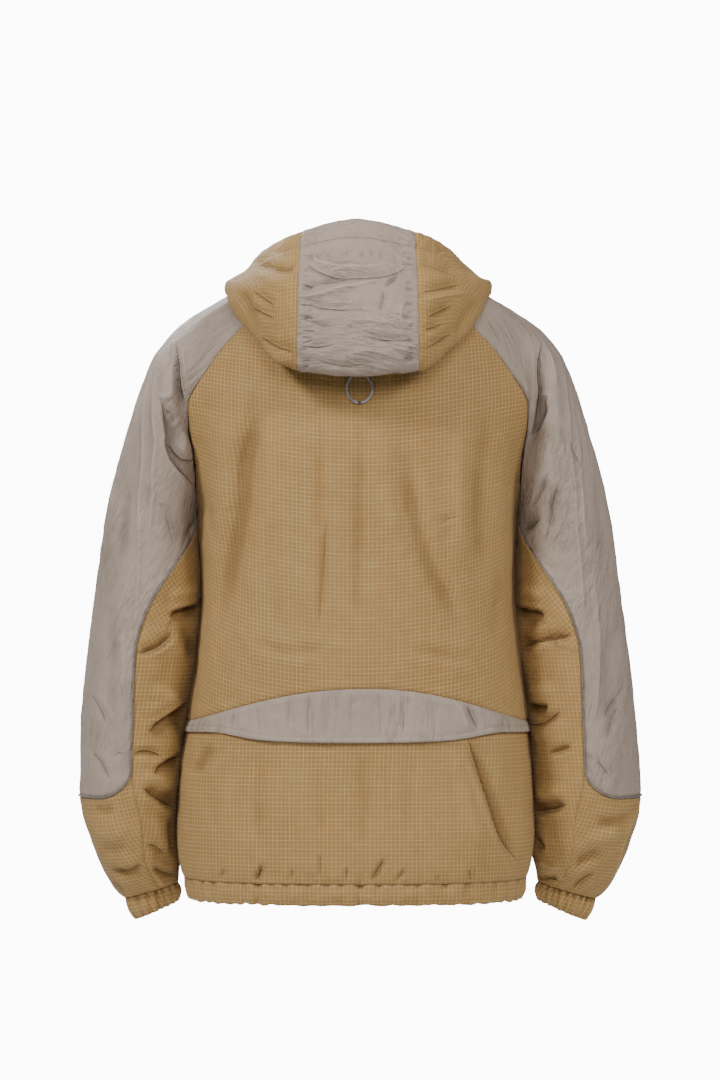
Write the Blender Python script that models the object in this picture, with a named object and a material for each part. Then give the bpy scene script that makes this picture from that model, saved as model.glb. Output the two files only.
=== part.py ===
"""Hooded windbreaker with raglan sleeves, held open as it is when worn.

Metres, +Z up. The front of the jacket faces -Y and the wearer's left is +X. The origin is at
the base of the neck. "level" is the height of a horizontal cut through the jacket; towards the
neck the cuts lean forward, so that the neckline is higher at the back than at the front.
"""
import math

import bmesh
import bpy
import numpy as np
from mathutils import Matrix

# ------------------------------------------------------------------ driving sizes
CLOTH = 0.0015            # wall of the body and sleeves
CHANNEL_WALL = 0.0022     # doubled cloth of the hem channel and cuffs
SEAM_STEP = 0.0004        # sleeve edge beside body edge
TRIM = 0.00015            # each piece stops this far short of a seam line
EASE = 0.0003             # between pieces that lie on each other
HOOD_CLOTH = 0.0013        # wall of the hood
HOOD_LIFT = 0.0006         # how far over the neck line the hood's seam edge lies

NECKLINE = 0.012          # level of the neck seam
UNDERARM = -0.250         # level of the bottom of the armhole
JOIN = -0.244             # level where the under-sleeve's point meets the armhole
HEM_SEAM = -0.6495
HEM_EDGE = -0.6735
CUFF_SEAM = -0.6665
CUFF_EDGE = -0.6885

NECK_LEAN = 0.40          # slope of the neckline, back to front
LEAN_STARTS = -0.130      # level where the cuts begin to lean
SQUARENESS = 2.5          # exponent of the torso's oval
ROUND = 1.17              # tangent length that makes four points a true oval

FRONT_EDGE = 0.006        # front panel's edge from the centre line
VENT_RISE = 0.0465        # height of the vent's arched upper seam
VENT_TOP = -0.4396        # centre of that seam
VENT_FOOT = -0.4970       # centre of the vent's free lower edge
VENT_END_LIFT = 0.0070    # how much the free edge rises at the side seams
VENT_APEX = -0.010        # the arch is highest this far to the wearer's right
VENT_STAND = 0.0029       # how far the free edge stands off the lower back
VENT_LAP = 0.012          # the lower back reaches this far up behind the vent
VENT_ARCH = 2.15          # exponent of the arch: 2 is a parabola
HALF_AT_VENT = 0.189      # half width of the body there

PATCH_FOOT = -0.5610      # lowest level of the grey outer sleeve
PATCH_CORNER = 0.030      # rise of its rounded corners
PATCH_CORNER_WIDTH = 0.22 # share of the patch that one corner takes
PIPING_RADIUS = 0.0011
PIPING_EASE = 0.0009      # its chords stay clear of the hollow stretches of the edge

HEM_WAVES = 24
HEM_WAVE_DEPTH = 0.0016
CUFF_WAVES = 21
CUFF_WAVE_DEPTH = 0.0013

RING_RADIUS = 0.0134      # hang loop, to the middle of the cord
RING_CORD = 0.0010        # radius of its cord
RING_LEVEL = -0.1192
RING_OUT = -0.0018        # it hangs a little to the wearer's right

ZIP_TOP_DROP = 0.004      # the zip stops this far below the neckline
TAPE_WIDTH = 0.013
TAPE_THICK = 0.0009
CHAIN_WIDTH = 0.0029
CHAIN_RISE = 0.0013
PULL_LENGTH = 0.026
PULL_WIDTH = 0.006
PULL_THICK = 0.0014

TAN = (0.392, 0.254, 0.112)
GREY = (0.378, 0.323, 0.272)
PIPING_GREY = (0.300, 0.262, 0.230)
STEEL = (0.330, 0.340, 0.355)


# ------------------------------------------------------------------ tables
class Table:
    """Rows of named columns; a column is read on a smooth curve through its rows."""

    def __init__(self, names, *rows):
        self.names = names.split()
        self.rows = np.array(sorted(rows), dtype=float)
        self.slopes = np.apply_along_axis(self._slopes, 0, self.rows)

    def _slopes(self, values):
        """Monotone slopes, so that a curve never swings past its rows."""
        steps = np.diff(self.rows[:, 0])
        rates = np.diff(values) / steps
        slopes = np.zeros(len(values))
        slopes[0] = rates[0]
        slopes[-1] = rates[-1]
        for i in range(1, len(values) - 1):
            if rates[i - 1] * rates[i] > 0:
                left = 2 * steps[i] + steps[i - 1]
                right = steps[i] + 2 * steps[i - 1]
                slopes[i] = (left + right) / (left / rates[i - 1] + right / rates[i])
        return slopes

    def at(self, name, where):
        column = self.names.index(name)
        keys = self.rows[:, 0]
        where = np.clip(np.asarray(where, dtype=float), keys[0], keys[-1])
        cell = np.clip(np.searchsorted(keys, where, side="right") - 1, 0, len(keys) - 2)
        step = keys[cell + 1] - keys[cell]
        u = (where - keys[cell]) / step
        low, high = self.rows[cell, column], self.rows[cell + 1, column]
        rise, fall = self.slopes[cell, column] * step, self.slopes[cell + 1, column] * step
        return ((2 * u**3 - 3 * u**2 + 1) * low + (u**3 - 2 * u**2 + u) * rise
                + (3 * u**2 - 2 * u**3) * high + (u**3 - u**2) * fall)


# The body's oval at each level: distance of the back and the front from the middle, half width
# below the armholes, and how far the oval sits over to the wearer's left.
BODY = Table("level back front half sway",
             (0.012, 0.080, 0.080, 0.10, 0),
             (-0.015, 0.097, 0.093, 0.12, 0),
             (-0.044, 0.114, 0.107, 0.15, 0),
             (-0.080, 0.131, 0.121, 0.17, 0),
             (-0.124, 0.142, 0.132, 0.18, 0),
             (-0.180, 0.147, 0.139, 0.178, 0),
             (-0.250, 0.147, 0.142, 0.1750, 0),
             (-0.300, 0.146, 0.143, 0.1725, 0),
             (-0.340, 0.145, 0.144, 0.1716, 0),
             (-0.380, 0.143, 0.144, 0.1752, 0),
             (-0.415, 0.142, 0.144, 0.1785, 0),
             (-0.451, 0.140, 0.144, 0.1840, 0.0005),
             (-0.485, 0.138, 0.144, 0.1880, 0.001),
             (-0.518, 0.138, 0.144, 0.1915, 0.002),
             (-0.557, 0.139, 0.144, 0.1945, 0.003),
             (-0.600, 0.139, 0.143, 0.1958, 0.003),
             (-0.630, 0.137, 0.141, 0.1935, 0.003),
             (-0.6495, 0.133, 0.137, 0.1885, 0.003),
             (-0.6735, 0.129, 0.132, 0.1835, 0.003))

# The back raglan seam by height: distance from the centre plane and distance behind the arm.
RAGLAN = Table("height out behind",
               (0.0450, 0.056, 0.066),
               (0.0200, 0.072, 0.077),
               (-0.0100, 0.095, 0.087),
               (-0.0330, 0.112, 0.091),
               (-0.0504, 0.1253, 0.0925),
               (-0.0712, 0.1446, 0.0935),
               (-0.0992, 0.1646, 0.0930),
               (-0.1206, 0.1782, 0.0890),
               (-0.1333, 0.1838, 0.0850),
               (-0.1611, 0.1832, 0.0750),
               (-0.1814, 0.1797, 0.0660),
               (-0.2019, 0.1773, 0.0560),
               (-0.2365, 0.1762, 0.0320),
               (-0.2440, 0.1757, 0.0215),
               (-0.2485, 0.1752, 0.0110),
               (-0.2500, 0.1750, 0.0))
FRONT_SHARE = 0.93        # the front raglan seam lies this much of the way forward

# The arm's oval at each level: its outer edge, its fullest place at the back, the direction in
# which the cloth leaves the raglan seam (degrees, 0 is straight out, 90 straight back), the
# clearance to the body below the armhole, the arm's middle fore and aft, and the tilt of the cut.
ARM = Table("level outer full_out full_back leaves clear middle tilt",
            (0.012, 0.0860, 0.0780, 0.036, -38, 0, 0, 0),
            (0.000, 0.1050, 0.0940, 0.047, -36, 0, 0, 0),
            (-0.0154, 0.1330, 0.1160, 0.056, -33, 0, 0, 0),
            (-0.031, 0.1650, 0.1400, 0.062, -31, 0, 0, 0),
            (-0.043, 0.1870, 0.1590, 0.067, -29, 0, 0, 0),
            (-0.056, 0.2045, 0.1760, 0.071, -27, 0, 0, 0),
            (-0.0715, 0.2180, 0.1920, 0.075, -25, 0, 0, 0),
            (-0.086, 0.2275, 0.2030, 0.079, -20, 0, 0, 0),
            (-0.1045, 0.2350, 0.2110, 0.084, -12, 0, 0, 0),
            (-0.130, 0.2440, 0.2170, 0.091, 5, 0, 0, 0),
            (-0.160, 0.2535, 0.2200, 0.095, 38, 0, 0, 0),
            (-0.200, 0.2650, 0.2230, 0.094, 70, 0, 0, 0),
            (-0.250, 0.2765, 0.2265, 0.088, 90, 0.0004, 0, 0),
            (-0.293, 0.2830, 0.2290, 0.085, 90, 0.0015, -0.001, 0),
            (-0.348, 0.2905, 0.2320, 0.083, 90, 0.0015, -0.002, 0),
            (-0.4125, 0.2990, 0.2385, 0.081, 90, 0.0015, -0.004, 0),
            (-0.480, 0.3060, 0.2470, 0.080, 90, 0.0015, -0.007, 0),
            (-0.530, 0.3085, 0.2510, 0.078, 90, 0.0015, -0.009, 0),
            (-0.560, 0.3090, 0.2520, 0.076, 90, 0.0015, -0.010, 0),
            (-0.580, 0.3070, 0.2520, 0.073, 90, 0.0015, -0.011, -0.01),
            (-0.604, 0.3000, 0.2500, 0.069, 90, 0.0018, -0.013, -0.04),
            (-0.630, 0.2885, 0.2440, 0.059, 90, 0.0025, -0.015, -0.12),
            (-0.650, 0.2765, 0.2380, 0.048, 90, 0.0080, -0.017, -0.22),
            (-0.660, 0.2685, 0.2335, 0.041, 90, 0.0110, -0.018, -0.27),
            (-0.6665, 0.2610, 0.2300, 0.0345, 90, 0.0130, -0.018, -0.29),
            (-0.6885, 0.2490, 0.2230, 0.0305, 90, 0.0145, -0.018, -0.42))
RIGHT_ARM_SPREAD = 0.0025  # half the difference between the arms, from the elbow down

# The seam that parts the under-sleeve from the outer sleeve, by level: distance from the centre.
SLEEVE_SEAM = Table("level out",
                    (-0.244, 0.1757),
                    (-0.260, 0.1765),
                    (-0.277, 0.1810),
                    (-0.302, 0.1950),
                    (-0.326, 0.2110),
                    (-0.350, 0.2255),
                    (-0.374, 0.2350),
                    (-0.398, 0.2410),
                    (-0.440, 0.2435),
                    (-0.477, 0.2445),
                    (-0.510, 0.2460),
                    (-0.531, 0.2465),
                    (-0.553, 0.2440),
                    (-0.575, 0.2385),
                    (-0.600, 0.2350),
                    (-0.628, 0.2340),
                    (-0.645, 0.2280),
                    (-0.6665, 0.2170))

# The hood as it hangs down the back, station by station from the centre back (0) past the seam of
# its middle strip (1) and its outermost tip (3) to the centre front (5). Each station is a fold
# of cloth: it leaves the neck seam, runs out to the fold, and comes back up to the face opening.
# "round" is the share of the sleeve's top edge at which it leaves the neck.
HOOD = Table("station round in_x in_y in_z fold_x fold_y fold_z out_x out_y out_z "
             "edge_x edge_y edge_z",
             (0, 0, 0.000, 0.1300, 0.0080, 0.0000, 0.1720, -0.1050,
              0.000, 0.1960, -0.0300, 0.0000, 0.1330, 0.0635),
             (1, 0, 0.0600, 0.1240, 0.0090, 0.0640, 0.1680, -0.0985,
              0.0640, 0.1900, -0.0280, 0.0612, 0.1220, 0.0505),
             (2, 0.18, 0.0890, 0.0970, 0.0150, 0.1090, 0.1300, -0.0630,
              0.1130, 0.1440, -0.0180, 0.1000, 0.0870, 0.0340),
             (2.5, 0.32, 0.1090, 0.0680, 0.0170, 0.1300, 0.0960, -0.0360,
              0.1365, 0.1000, -0.0080, 0.1260, 0.0600, 0.0105),
             (2.75, 0.41, 0.1130, 0.0490, 0.0185, 0.1380, 0.0800, -0.0200,
              0.1430, 0.0780, -0.0055, 0.1345, 0.0480, 0.0050),
             (3, 0.50, 0.1130, 0.0260, 0.0170, 0.1430, 0.0380, -0.0095,
              0.1450, 0.0390, -0.0025, 0.1385, 0.0330, 0.0025),
             (3.5, 0.74, 0.1020, -0.0300, 0.0160, 0.1240, -0.0340, 0.0040,
              0.1330, -0.0350, -0.0080, 0.1370, -0.0350, -0.0190),
             (4, 1, 0.0690, -0.0710, 0.0050, 0.0820, -0.0820, 0.0040,
              0.0930, -0.0890, -0.0090, 0.0990, -0.0910, -0.0260),
             (4.5, 1, 0.0390, -0.0800, -0.0010, 0.0440, -0.0900, 0.0020,
              0.0490, -0.0980, -0.0040, 0.0530, -0.1020, -0.0150),
             (5, 1, 0.0075, -0.0830, -0.0140, 0.0090, -0.0860, -0.0080,
              0.0110, -0.0890, -0.0030, 0.0135, -0.0915, 0.0010))


# ------------------------------------------------------------------ folds
def bump(distance, width):
    """A soft ridge's profile: 1 on its line, 0 a width or two away."""
    return np.exp(-(distance / width) ** 2)


def crease(a, b, start, end, width, depth):
    """Height of one soft fold on the straight line from start to end, in (a, b) coordinates."""
    line = np.subtract(end, start)
    length = math.hypot(*line)
    along_it = ((a - start[0]) * line[0] + (b - start[1]) * line[1]) / length**2
    across = ((a - start[0]) * line[1] - (b - start[1]) * line[0]) / length
    middle = np.clip(along_it, -0.5, 1.5)
    return depth * bump(across, width) * np.clip(np.sin((middle + 0.25) / 1.5 * math.pi), 0, 1)


# Largest folds of the back, as x and height at both ends, width and depth (troughs negative).
BACK_FOLDS = ((0.094, -0.120, 0.128, -0.300, 0.014, -0.0055),
              (0.128, -0.260, 0.142, -0.420, 0.015, -0.0050),
              (0.112, -0.170, 0.150, -0.380, 0.016, 0.0030),
              (0.044, -0.150, 0.043, -0.360, 0.011, -0.0025),
              (0.000, -0.140, -0.002, -0.400, 0.010, -0.0022),
              (-0.052, -0.215, -0.080, -0.330, 0.012, -0.0030),
              (-0.078, -0.320, -0.110, -0.420, 0.013, -0.0035),
              (-0.115, -0.500, -0.160, -0.640, 0.014, -0.0045),
              (0.120, -0.520, 0.150, -0.640, 0.016, -0.0030))
# The hidden front hangs in a few similar folds.
FRONT_FOLDS = ((0.100, -0.140, 0.120, -0.330, 0.016, -0.0045),
               (-0.105, -0.160, -0.118, -0.350, 0.016, -0.0042),
               (0.060, -0.420, 0.085, -0.620, 0.016, -0.0035),
               (-0.070, -0.400, -0.078, -0.610, 0.016, -0.0038))


def folds(table, x, height):
    return sum(crease(x, height, row[:2], row[2:4], row[4], row[5]) for row in table)


# Folds of a sleeve, as share of the way round (0 inside, 0.25 back, 0.5 outside) and level at
# both ends, width as a share, depth. Round and level are brought to like units by ROUND_LENGTH.
ROUND_LENGTH = 0.44
ARM_FOLDS = ((0.300, -0.120, 0.330, -0.420, 0.010, 0.0030),
             (0.060, -0.335, 0.170, -0.315, 0.009, -0.0060),
             (0.060, -0.380, 0.200, -0.345, 0.009, -0.0045),
             (0.050, -0.470, 0.200, -0.455, 0.009, -0.0060),
             (0.060, -0.510, 0.190, -0.500, 0.008, -0.0040),
             (0.050, -0.560, 0.200, -0.550, 0.009, -0.0055),
             (0.100, -0.620, 0.260, -0.600, 0.008, -0.0040),
             (0.450, -0.575, 0.420, -0.650, 0.008, -0.0030),
             (0.940, -0.350, 0.830, -0.325, 0.009, -0.0050),
             (0.950, -0.480, 0.800, -0.465, 0.009, -0.0050),
             (0.950, -0.570, 0.800, -0.560, 0.009, -0.0045))

HOOD_FOLDS = ((-0.75, 0.700, 0.95, 0.640, 0.020, -0.0030),
              (-0.90, 0.760, 0.30, 0.800, 0.020, -0.0028),
              (-0.20, 0.860, 0.95, 0.830, 0.016, -0.0020),
              (1.20, 0.930, 2.40, 0.700, 0.024, -0.0035),
              (-1.20, 0.900, -2.30, 0.680, 0.024, -0.0035),
              (1.60, 0.640, 2.60, 0.560, 0.020, -0.0028),
              (-1.50, 0.620, -2.50, 0.560, 0.020, -0.0028))


# ------------------------------------------------------------------ surfaces
def unit(vectors):
    return vectors / np.maximum(np.linalg.norm(vectors, axis=-1, keepdims=True), 1e-12)


def round_path(points, share, first=None, last=None):
    """A round curve through points (n, k, d), read at a share 0..1 of its length for each n."""
    chords = np.linalg.norm(np.diff(points, axis=1), axis=2)
    knots = np.concatenate([np.zeros((len(points), 1)), np.cumsum(chords, axis=1)], axis=1)
    heading = np.empty_like(points)
    heading[:, 1:-1] = unit(points[:, 2:] - points[:, :-2])
    heading[:, 0] = unit(points[:, 1] - points[:, 0]) if first is None else first
    heading[:, -1] = unit(points[:, -1] - points[:, -2]) if last is None else last
    distance = np.clip(share, 0, 1) * knots[:, -1]
    each = np.arange(len(points))
    cell = np.clip((distance[:, None] >= knots).sum(axis=1) - 1, 0, points.shape[1] - 2)
    chord = chords[each, cell]
    u = ((distance - knots[each, cell]) / chord)[:, None]
    reach = (ROUND * chord)[:, None]
    return ((2 * u**3 - 3 * u**2 + 1) * points[each, cell]
            + (u**3 - 2 * u**2 + u) * reach * heading[each, cell]
            + (3 * u**2 - 2 * u**3) * points[each, cell + 1]
            + (u**3 - u**2) * reach * heading[each, cell + 1])


def lean(level):
    """Forward slope of the cut at a level: none on the body, most at the neckline."""
    risen = np.clip((level - LEAN_STARTS) / (NECKLINE - LEAN_STARTS), 0, 1)
    return NECK_LEAN * risen**1.5


def raglan(level, face):
    """The raglan seam where it crosses a level, as distance out and fore or aft (back is +)."""
    share = 1.0 if face > 0 else FRONT_SHARE
    behind = RAGLAN.at("behind", level)
    for _ in range(6):
        height = level + lean(level) * behind
        behind = RAGLAN.at("behind", height)
    return RAGLAN.at("out", height), face * share * behind


def oval(level, face):
    """Half width and depth of the body's oval, and the angle at which its panel ends."""
    depth = BODY.at("back" if face > 0 else "front", level)
    out, y = raglan(level, face)
    rest = np.maximum(1 - (np.abs(y) / depth) ** SQUARENESS, 1e-6)
    above = level > UNDERARM
    half = np.where(above, out / rest ** (1 / SQUARENESS), BODY.at("half", level))
    sine = np.where(above, rest**0.5, 1.0)
    return half, depth, np.arcsin(np.clip(sine, 0, 1))


def body_place(level, turn, face):
    """A point of the body's oval; turn runs from 0 at the centre to 1 at the panel's side."""
    side = np.where(turn < 0, -1.0, 1.0)
    half, depth, end = oval(level, face)
    angle = np.abs(turn) * end
    x = half * np.sin(angle) ** (2 / SQUARENESS) * side
    y = face * depth * np.maximum(np.cos(angle), 0) ** (2 / SQUARENESS)
    sway = BODY.at("sway", level)
    return np.stack([x + sway, y, level + lean(level) * y], axis=-1)


def arm_place(level, share, side):
    """A point of a sleeve; share runs from the back seam or the inside (0) round the outside."""
    level, share = np.broadcast_arrays(np.asarray(level, float), np.asarray(share, float))
    above = level > UNDERARM
    back_x, back_y = raglan(level, 1)
    front_x, front_y = raglan(level, -1)
    lower = np.clip((-0.45 - level) / 0.10, 0, 1)
    spread = -side * RIGHT_ARM_SPREAD * lower * lower * (3 - 2 * lower)
    swayed = side * BODY.at("sway", level) * np.clip((level + 0.66) / 0.04, 0, 1)
    inner = BODY.at("half", level) + swayed + ARM.at("clear", level)
    outer = ARM.at("outer", level) + spread
    full = ARM.at("full_out", level) + spread / 2
    deep = ARM.at("full_back", level)
    middle = ARM.at("middle", level)
    start = np.stack([np.where(above, back_x + SEAM_STEP, inner),
                      np.where(above, back_y, middle)], axis=-1)
    finish = np.stack([np.where(above, front_x + SEAM_STEP, inner),
                       np.where(above, front_y, middle)], axis=-1)
    points = np.stack([start,
                       np.stack([full, middle + deep], axis=-1),
                       np.stack([outer, middle], axis=-1),
                       np.stack([full, middle - FRONT_SHARE * deep], axis=-1),
                       finish], axis=-2)
    leaves = np.radians(ARM.at("leaves", level))
    first = np.stack([np.cos(leaves), np.sin(leaves)], axis=-1)
    last = np.stack([-np.cos(leaves), np.sin(leaves)], axis=-1)
    flat = round_path(points.reshape(-1, 5, 2), share.ravel(), first.reshape(-1, 2),
                      last.reshape(-1, 2)).reshape(level.shape + (2,))
    height = (level + lean(level) * flat[..., 1]
              + ARM.at("tilt", level) * (flat[..., 0] - full))
    return np.stack([side * flat[..., 0], flat[..., 1], height], axis=-1)


def neck_ring(way):
    """The neck seam on the wearer's left, by hood station: back, sleeve top, then front."""
    level = np.full_like(way, NECKLINE)
    half, _, end = oval(level, -1)
    first = np.arcsin((FRONT_EDGE / half) ** (SQUARENESS / 2)) / end
    back = body_place(level, np.clip(way, 0, 1) ** (SQUARENESS / 2), 1)
    top = arm_place(level, np.clip(HOOD_ROUND.at("round", way), 0, 1), 1)
    front = body_place(level, 1 - np.clip(way - 4, 0, 1) * (1 - first), -1)
    place = np.where((way < 1)[..., None], back, np.where((way < 4)[..., None], top, front))
    place[..., 2] += HOOD_LIFT
    return place


def hood_place(station, share):
    """A point of the hood; share runs from the neck seam (0) to the face opening (1)."""
    station, share = np.broadcast_arrays(np.asarray(station, float), np.asarray(share, float))
    way = np.abs(station)
    legs = [np.stack([HOOD_ROUND.at(name + "_" + axis, way) for axis in "xyz"], axis=-1)
            for name in ("in", "fold", "out", "edge")]
    points = np.stack([neck_ring(way)] + legs, axis=-2)
    place = round_path(points.reshape(-1, 5, 3), share.ravel()).reshape(station.shape + (3,))
    place[..., 0] *= np.where(station < 0, -1.0, 1.0)
    return place


def mirrored(table):
    """The same table with its first rows repeated across the centre, x turned round."""
    names = table.names
    turned = table.rows[1:3].copy()
    turned[:, 0] *= -1
    for column, name in enumerate(names):
        if name.endswith("_x"):
            turned[:, column] *= -1
    return Table(" ".join(names), *(tuple(row) for row in np.concatenate([turned, table.rows])))


HOOD_ROUND = mirrored(HOOD)


def facing(surface, u, v, outward):
    """Unit normals of a surface on a grid, from small steps both ways."""
    step_u, step_v = 2e-4, 2e-4
    along_u = surface(u + step_u, v) - surface(u - step_u, v)
    along_v = surface(u, v + step_v) - surface(u, v - step_v)
    return outward * unit(np.cross(along_u, along_v))


# ------------------------------------------------------------------ making solids
def material(name, colour, roughness, metallic=0.0):
    made = bpy.data.materials.new(name)
    made.use_nodes = True
    shader = made.node_tree.nodes["Principled BSDF"]
    shader.inputs["Base Color"].default_value = (*colour, 1)
    shader.inputs["Roughness"].default_value = roughness
    shader.inputs["Metallic"].default_value = metallic
    return made


def add_object(name, mesh, finish):
    made = bpy.data.objects.new(name, mesh)
    made.data.materials.append(finish)
    JACKET.objects.link(made)
    return made


def trimmed(grid, edges, amount):
    """The grid with the named edges drawn in, so that a seam keeps its gap."""
    grid = grid.copy()
    rows = {"first": (0, 1), "last": (-1, -2)}
    for edge in edges:
        which, end = edge.split()
        at, beside = rows[end]
        if which == "row":
            grid[at] += unit(grid[beside] - grid[at]) * amount
        else:
            grid[:, at] += unit(grid[:, beside] - grid[:, at]) * amount
    return grid


def wall(name, outer, normals, finish, thickness=CLOTH, closed=False, edges=()):
    """A cloth wall: the outer grid, the same grid moved in, and the rims between them."""
    inner = trimmed(outer - normals * thickness, edges, TRIM)
    outer = trimmed(outer, edges, TRIM)
    rows, columns = outer.shape[:2]
    shell = bmesh.new()
    skins = [[[shell.verts.new(point) for point in row] for row in skin] for skin in (outer, inner)]
    around = columns if closed else columns - 1

    def face(*corners):
        shell.faces.new(corners)

    for j in range(around):
        k = (j + 1) % columns
        for i in range(rows - 1):
            for skin in skins:
                face(skin[i][j], skin[i][k], skin[i + 1][k], skin[i + 1][j])
        for i in (0, rows - 1):
            face(skins[0][i][j], skins[0][i][k], skins[1][i][k], skins[1][i][j])
    if not closed:
        for j in (0, columns - 1):
            for i in range(rows - 1):
                face(skins[0][i][j], skins[0][i + 1][j], skins[1][i + 1][j], skins[1][i][j])
    bmesh.ops.recalc_face_normals(shell, faces=shell.faces)
    mesh = bpy.data.meshes.new(name)
    shell.to_mesh(mesh)
    shell.free()
    mesh.shade_smooth()
    return add_object(name, mesh, finish)


def spaced(start, end, count, ease=0.0):
    """Evenly spaced values; a positive ease crowds them towards both ends."""
    share = np.linspace(0, 1, count)
    share = share - ease * np.sin(2 * math.pi * share) / (2 * math.pi)
    return start + (end - start) * share


# ------------------------------------------------------------------ body panels
UPPER_LEVELS = np.array([NECKLINE, -0.008, -0.028, -0.047, -0.067, -0.090, -0.113, -0.135, -0.158,
                         -0.188, -0.217, JOIN, -0.2485, UNDERARM])
FRONT_BELOW = np.array([0.13, 0.28, 0.44, 0.60, 0.75, 0.89, 1.0])
FRONT_LEVELS = np.concatenate([UPPER_LEVELS, UNDERARM + (HEM_SEAM - UNDERARM) * FRONT_BELOW])


def eased(share):
    """0 to 1 with a soft start and end."""
    share = np.clip(share, 0, 1)
    return share * share * (3 - 2 * share)


def vent_seam(x):
    """Height of the arched seam over the vent."""
    reach = HALF_AT_VENT + np.where(x > VENT_APEX, -VENT_APEX, VENT_APEX)
    return VENT_TOP - VENT_RISE * (np.abs(x - VENT_APEX) / reach) ** VENT_ARCH


def vent_foot(x):
    """Height of the vent's free lower edge."""
    return VENT_FOOT + VENT_END_LIFT * (np.abs(x) / HALF_AT_VENT) ** 2


def back_surface(level, turn):
    """The back with its folds."""
    def plain(a, b):
        return body_place(a, b, 1)
    place = plain(level, turn)
    depth = folds(BACK_FOLDS, place[..., 0], place[..., 2]) * eased((1 - np.abs(turn)) / 0.12)
    return place + facing(plain, level, turn, 1) * depth[..., None]


def front_surface(level, turn):
    def plain(a, b):
        return body_place(a, b, -1)
    place = plain(level, turn)
    depth = folds(FRONT_FOLDS, place[..., 0], place[..., 2])
    depth *= eased((1 - np.abs(turn)) / 0.12) * eased((np.abs(turn) - 0.06) / 0.12)
    return place + facing(plain, level, turn, -1) * depth[..., None]


BACK_TURNS = spaced(-1, 1, 23)


def column_x(turn):
    """Distance across of a back column at the vent."""
    return (np.sign(turn) * HALF_AT_VENT
            * np.sin(np.abs(turn) * math.pi / 2) ** (2 / SQUARENESS))


def make_back_upper():
    lower = np.array([0.12, 0.30, 0.50, 0.70, 0.86, 1.0])[:, None]
    seam = vent_seam(column_x(BACK_TURNS))[None, :]
    levels = np.concatenate([np.repeat(UPPER_LEVELS[:, None], len(BACK_TURNS), axis=1),
                             UNDERARM + (seam - UNDERARM) * lower])
    turns = np.broadcast_to(BACK_TURNS, levels.shape)
    grid = back_surface(levels, turns)
    normals = facing(back_surface, levels, turns, 1)
    normals = share_raglan_normals(levels, grid, normals)
    wall("back_upper", grid, normals, TAN_CLOTH,
         edges=("row first", "row last", "column first", "column last"))


def share_raglan_normals(levels, grid, normals):
    """Where the shoulder runs smoothly across the raglan seam, both walls use one normal."""
    normals = normals.copy()
    for column, side in ((0, -1), (-1, 1)):
        seam = levels[:, column]
        theirs = sleeve_normal(seam, np.zeros_like(seam), side)
        mixed = mix_normals(normals[:, column], theirs)
        on_seam = (seam > UNDERARM)[:, None]
        normals[:, column] = np.where(on_seam, mixed, normals[:, column])
    return normals


def mix_normals(mine, theirs):
    """The mean of two normals where they agree, mine where they turn away from each other."""
    agree = np.clip((np.sum(mine * theirs, axis=-1, keepdims=True) - 0.3) / 0.4, 0, 1)
    return unit(mine + agree * theirs)


def make_back_vent():
    shares = np.array([0, 0.34, 0.67, 1.0])[:, None]
    x = column_x(BACK_TURNS)[None, :]
    levels = vent_seam(x) - 2 * TRIM + (vent_foot(x) - vent_seam(x)) * shares
    turns = np.broadcast_to(BACK_TURNS, levels.shape)
    normals = facing(back_surface, levels, turns, 1)
    stand = VENT_STAND * np.sin(shares * math.pi / 2) * eased((1 - np.abs(turns)) / 0.15)
    grid = back_surface(levels, turns) + normals * stand[..., None]
    wall("back_vent", grid, normals, GREY_NYLON, thickness=0.0012,
         edges=("column first", "column last"))


def make_back_lower():
    x = column_x(BACK_TURNS)[None, :]
    lap = VENT_LAP * eased((0.92 - np.abs(BACK_TURNS)) / 0.30) - 3 * TRIM
    top = vent_foot(x) + lap
    shares = np.array([0, 0.13, 0.34, 0.56, 0.78, 1.0])[:, None]
    levels = top + (HEM_SEAM - top) * shares
    turns = np.broadcast_to(BACK_TURNS, levels.shape)
    wall("back_lower", back_surface(levels, turns), facing(back_surface, levels, turns, 1),
         TAN_CLOTH, edges=("row last", "column first", "column last"))


def make_front(name, side):
    levels = FRONT_LEVELS[:, None]
    half, _, end = oval(levels, -1)
    first = np.arcsin((FRONT_EDGE / half) ** (SQUARENESS / 2)) / end
    shares = spaced(0, 1, 11)[None, :] ** 0.9
    turns = side * (first + (1 - first) * shares)
    levels = np.broadcast_to(levels, turns.shape)
    grid = front_surface(levels, turns)
    normals = facing(front_surface, levels, turns, -1)
    seam = levels[:, -1]
    theirs = sleeve_normal(seam, np.ones_like(seam), side)
    on_seam = (seam > UNDERARM)[:, None]
    normals[:, -1] = np.where(on_seam, mix_normals(normals[:, -1], theirs), normals[:, -1])
    wall(name, grid, normals, TAN_CLOTH, edges=("row first", "row last", "column last"))


def make_hem():
    """The gathered channel round the bottom, open at the zip."""
    count = HEM_WAVES * 4
    around = np.linspace(-1, 1, count + 1)[None, :]
    levels = np.array([0.0, 0.5, 1.0])[:, None]
    puff = np.array([0.0006, 0.0030, 0.0004])[:, None]
    levels = HEM_SEAM - 2 * TRIM + (HEM_EDGE - HEM_SEAM) * levels
    levels, around = np.broadcast_arrays(levels, around)
    place, normals = belt(levels, around)
    phase = around * HEM_WAVES * math.pi
    uneven = 0.75 + 0.25 * np.sin(around * 9.0 + 1.0)
    wave = HEM_WAVE_DEPTH * uneven * np.cos(phase + 0.5 * np.sin(around * 13.0))
    calm = np.clip((1 - np.abs(around)) / 0.02, 0, 1)
    calm = calm * (1 - 0.7 * bump(np.abs(around) - 0.5, 0.05))
    wall("hem_channel", place + normals * (puff + wave * calm)[..., None], normals, TAN_CLOTH,
         thickness=CHANNEL_WALL)


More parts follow.
